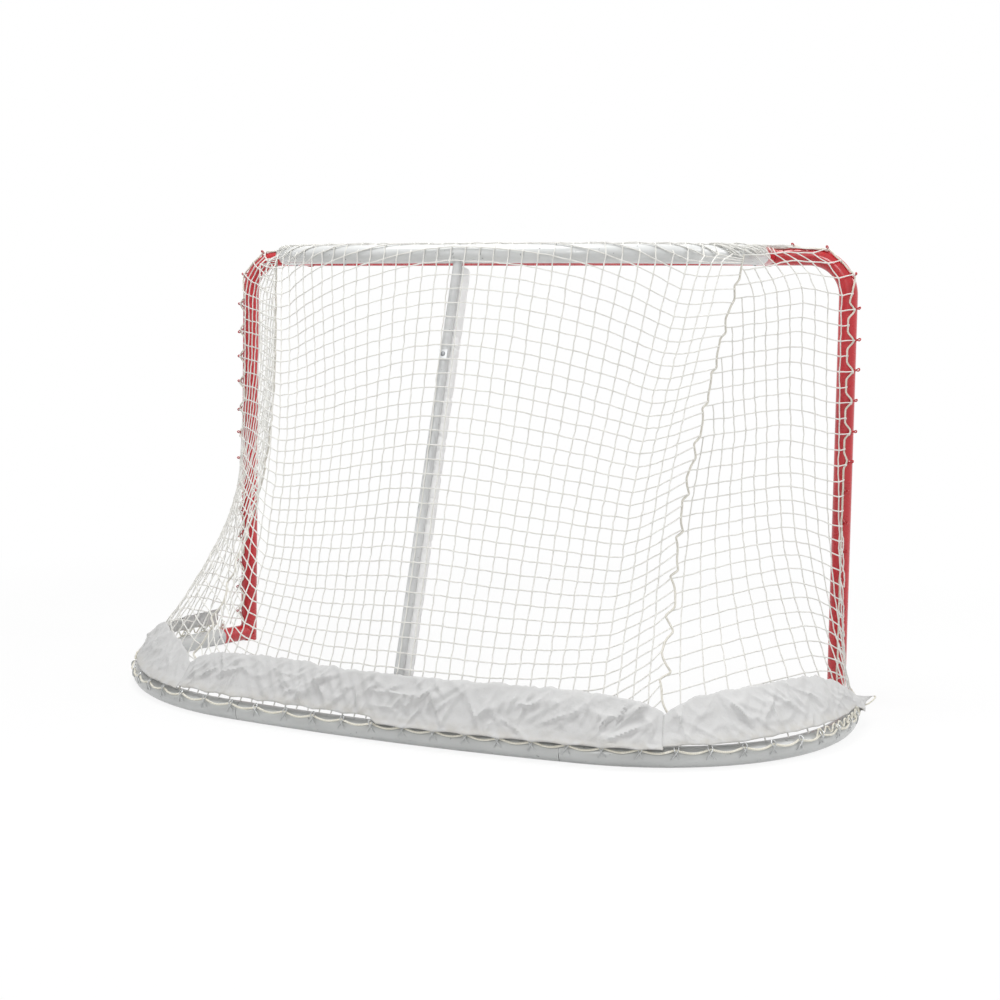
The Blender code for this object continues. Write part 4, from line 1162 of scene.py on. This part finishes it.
def addSkirt(kind):
    skirt = Skirt(kind)
    begin = skirt.form["start"]
    wide, high = skirt.width - begin + skirt.flap, skirt.form["height"]
    work = bmesh.new()
    across, up = int(wide / skirts["step"]), int(high / skirts["step"])
    bmesh.ops.create_grid(work, x_segments=across, y_segments=up, size=0.5)
    layout = work.loops.layers.uv.new("weave")
    flat = {}
    for vert in work.verts:
        x, y = (vert.co.x + 0.5) * wide + begin - skirt.flap, vert.co.y + 0.5
        flat[vert] = (x, y * high)
        onFlap = skirt.flap and x < begin
        spot = skirt.flapPoint((begin - x) / skirt.flap, y) if onFlap else skirt.point(x, y)
        vert.co = sided(spot, -1) if kind == "left" else spot
    for face in work.faces:
        for loop in face.loops:
            loop[layout].uv = flat[loop.vert]
    bmesh.ops.recalc_face_normals(work, faces=work.faces)
    area = sum(face.calc_area() for face in work.faces)
    made = meshOf(work, kind + "Canvas")
    piece = addPiece(kind + "Canvas", made, canvas, "canvas", kind + "_skirt")
    cloth = piece.modifiers.new("cloth", "SOLIDIFY")
    cloth.thickness = skirts["thickness"]
    cloth.offset = 0.0
    ratio = max(area / (wide * high), 1.0) ** 0.5
    wide * ratio
    high * ratio
    print(kind + "Canvas flat", round(wide * ratio, 3), round(high * ratio, 3), "area", round(area, 4))


for kind in ("rear", "right", "left"):
    addSkirt(kind)
print("canvas made")

padForm = {
    "width": 0.05, "depth": 0.048, "setback": 0.0325, "topGap": 0.006, "footGap": 0.03, "sides": 48,
    "ring": 0.004, "folds": 0.038, "foldReach": 0.04, "grooveRoom": 0.0008, "endRound": 0.006, "seed": 3,
}


def addPad():
    back = barBack * padForm["setback"]
    start = barTop + barDown * (tubeRadius + padForm["topGap"]) - back
    end = barFoot - barDown * (tubeRadius + padForm["footGap"]) - back
    length = (end - start).length
    work = bmesh.new()
    bmesh.ops.create_circle(work, cap_ends=True, segments=padForm["sides"], radius=1.0)
    for vert in work.verts:
        across = xAxis * vert.co.x * padForm["width"] / 2
        vert.co = start + across + barBack * vert.co.y * padForm["depth"] / 2
    rings = int(length / padForm["ring"])
    faces = list(work.faces)
    for _ in range(rings):
        grown = bmesh.ops.extrude_face_region(work, geom=faces)
        moved = [item for item in grown["geom"] if isinstance(item, bmesh.types.BMVert)]
        bmesh.ops.translate(work, verts=moved, vec=barDown * (length / rings))
        bmesh.ops.delete(work, geom=faces, context="FACES_ONLY")
        faces = [item for item in grown["geom"] if isinstance(item, bmesh.types.BMFace)]
    creases = padCreases(length)
    for vert in work.verts:
        shapePad(vert, start, length, creases)
    bmesh.ops.holes_fill(work, edges=[edge for edge in work.edges if edge.is_boundary])
    bmesh.ops.recalc_face_normals(work, faces=work.faces)
    piece = addPiece("barPad", meshOf(work, "barPad"), padSkin, "pad_vinyl", "bar_pad")


def padCreases(length):
    # each crease: its place down the pad, slant, depth, width and the side that it is deepest on
    rng = random.Random(padForm["seed"])
    creases, at = [], 0.02
    while at < length:
        slant, deep = rng.uniform(-0.5, 0.5), rng.uniform(0.0020, 0.0052)
        creases.append((at, slant, deep, rng.uniform(0.002, 0.004), rng.uniform(-1, 1)))
        at += padForm["folds"] * rng.uniform(0.45, 1.3)
    return creases


def shapePad(vert, start, length, creases):
    at = (vert.co - start).dot(barDown)
    x, y = vert.co.x, (vert.co - start).dot(barBack)
    out = (xAxis * x + barBack * y).normalized()
    turn = atan2(y, x)
    sunk = 0.0
    for spot, slant, deep, wide, phase in creases:
        if abs(at - spot) < padForm["foldReach"]:
            turned = 0.55 + 0.45 * cos(turn - phase * 3)
            sunk += deep * exp(-abs((at - spot - slant * x) / wide) ** 1.2) * turned
    place = Vector((cos(turn) * 1.1, sin(turn) * 1.1, at * 32))
    soft = 0.0013 * noise.noise(place) + 0.0008 * noise.noise(place * 3.1)
    rounded = padForm["endRound"] * exp(-min(at, length - at) / padForm["endRound"])
    vert.co -= out * (sunk + abs(soft) + rounded)
    # the groove that takes the bar
    x, y = vert.co.x, (vert.co - start).dot(barBack) - padForm["setback"]
    away, room = hypot(x, y), goal["barRadius"] + padForm["grooveRoom"]
    if away < room:
        vert.co += (xAxis * x + barBack * y) * (room / away - 1)


addPad()
print("pad made")


def dressNodes():
    # the small metal pieces are drawn from the CAD, in these metals
    finishes = {"bare_steel": steel, "zinc_plate": zinc}
    for part in frame["record"].get("subparts", []):
        finish = washerZinc if part["node"] == "bar_washer" else finishes.get(part.get("material_slot"))
        node = frame["nodes"].get(part["node"])
        if finish and node:
            node.data.materials.clear()
            node.data.materials.append(finish)


dressNodes()

# Each lamp: its place, power and size.
studio = {
    "key": (-4.2, -1.6, 3.6, 120.0, 2.6), "fill": (-1.0, 5.6, 3.2, 78.0, 1.1),
    "top": (0.6, 0.6, 5.0, 165.0, 2.2), "aimHeight": 0.5, "world": 0.37,
    "floor": 0.84, "floorSize": 30.0, "floorDrop": 0.0005, "nearShare": 0.88, "fade": (1.5, 3.2),
}


def addLamp(name, x, y, z, power, size):
    lamp = bpy.data.lights.new(name, "AREA")
    lamp.energy = power
    lamp.size = size
    holder = addObject(name, lamp)
    holder.location = (x, y, z)
    aim = Vector((0, 0, studio["aimHeight"])) - Vector((x, y, z))
    holder.rotation_euler = aim.to_track_quat("-Z", "Y").to_euler()


def paleFloor():
    # the floor keeps the goal's shadow near it and turns white further out
    material = bpy.data.materials.new("paleFloor")
    material.use_nodes = True
    sheet = NodeSheet(material.node_tree)
    output = sheet.tree.nodes["Material Output"]
    matt = sheet.node("ShaderNodeBsdfDiffuse", None, {"Color": (*(studio["floor"],) * 3, 1.0)})
    far = sheet.node("ShaderNodeVectorMath", {"operation": "LENGTH"}, {0: sheet.place()}, out="Value")
    share = sheet.seenDirectly() * sheet.ramp(far, *studio["fade"], studio["nearShare"], 1.0)
    glow = sheet.node("ShaderNodeEmission")
    blended = sheet.node("ShaderNodeMixShader", None, {0: share, 1: matt, 2: glow})
    sheet.feed(output.inputs["Surface"], blended)
    return material


def addStudio():
    work = bmesh.new()
    bmesh.ops.create_grid(work, x_segments=1, y_segments=1, size=studio["floorSize"])
    bmesh.ops.translate(work, verts=work.verts, vec=(0, 0, -studio["floorDrop"]))
    floor = addObject("floor", meshOf(work, "floor"))
    floor.data.materials.append(paleFloor())
    world = bpy.data.worlds.new("studio")
    bpy.context.scene.world = world
    world.use_nodes = True
    sheet = NodeSheet(world.node_tree)
    background = world.node_tree.nodes["Background"]
    background.inputs["Color"].default_value = (1, 1, 1, 1)
    strength = sheet.ramp(sheet.seenDirectly(), 0.0, 1.0, studio["world"], 1.0)
    sheet.feed(background.inputs["Strength"], strength)
    for name in ("key", "fill", "top"):
        addLamp(name, *studio[name])
    bpy.context.scene.view_settings.view_transform = "Standard"


addStudio()

camera = {
    "place": (-1.63516, 4.1867, 1.07545), "yaw": 0.42422, "pitch": -0.06869, "roll": 0.01187,
    "lens": 59.02, "shiftX": 0.12, "shiftY": -0.075,
}


def addCamera():
    yaw, pitch, roll = camera["yaw"], camera["pitch"], camera["roll"]
    ahead = Vector((sin(yaw) * cos(pitch), -cos(yaw) * cos(pitch), sin(pitch)))
    level = Vector((-cos(yaw), -sin(yaw), 0))
    upright = level.cross(ahead)
    right = level * cos(roll) + upright * sin(roll)
    up = right.cross(ahead)
    data = bpy.data.cameras.new("camera")
    data.lens = camera["lens"]
    data.shift_x = camera["shiftX"]
    data.shift_y = camera["shiftY"]
    turn = Matrix((right, up, -ahead)).transposed().to_4x4()
    turn.translation = Vector(camera["place"])
    holder = addObject("camera", data)
    holder.matrix_world = turn
    bpy.context.scene.camera = holder


addCamera()
print("studio and camera set")
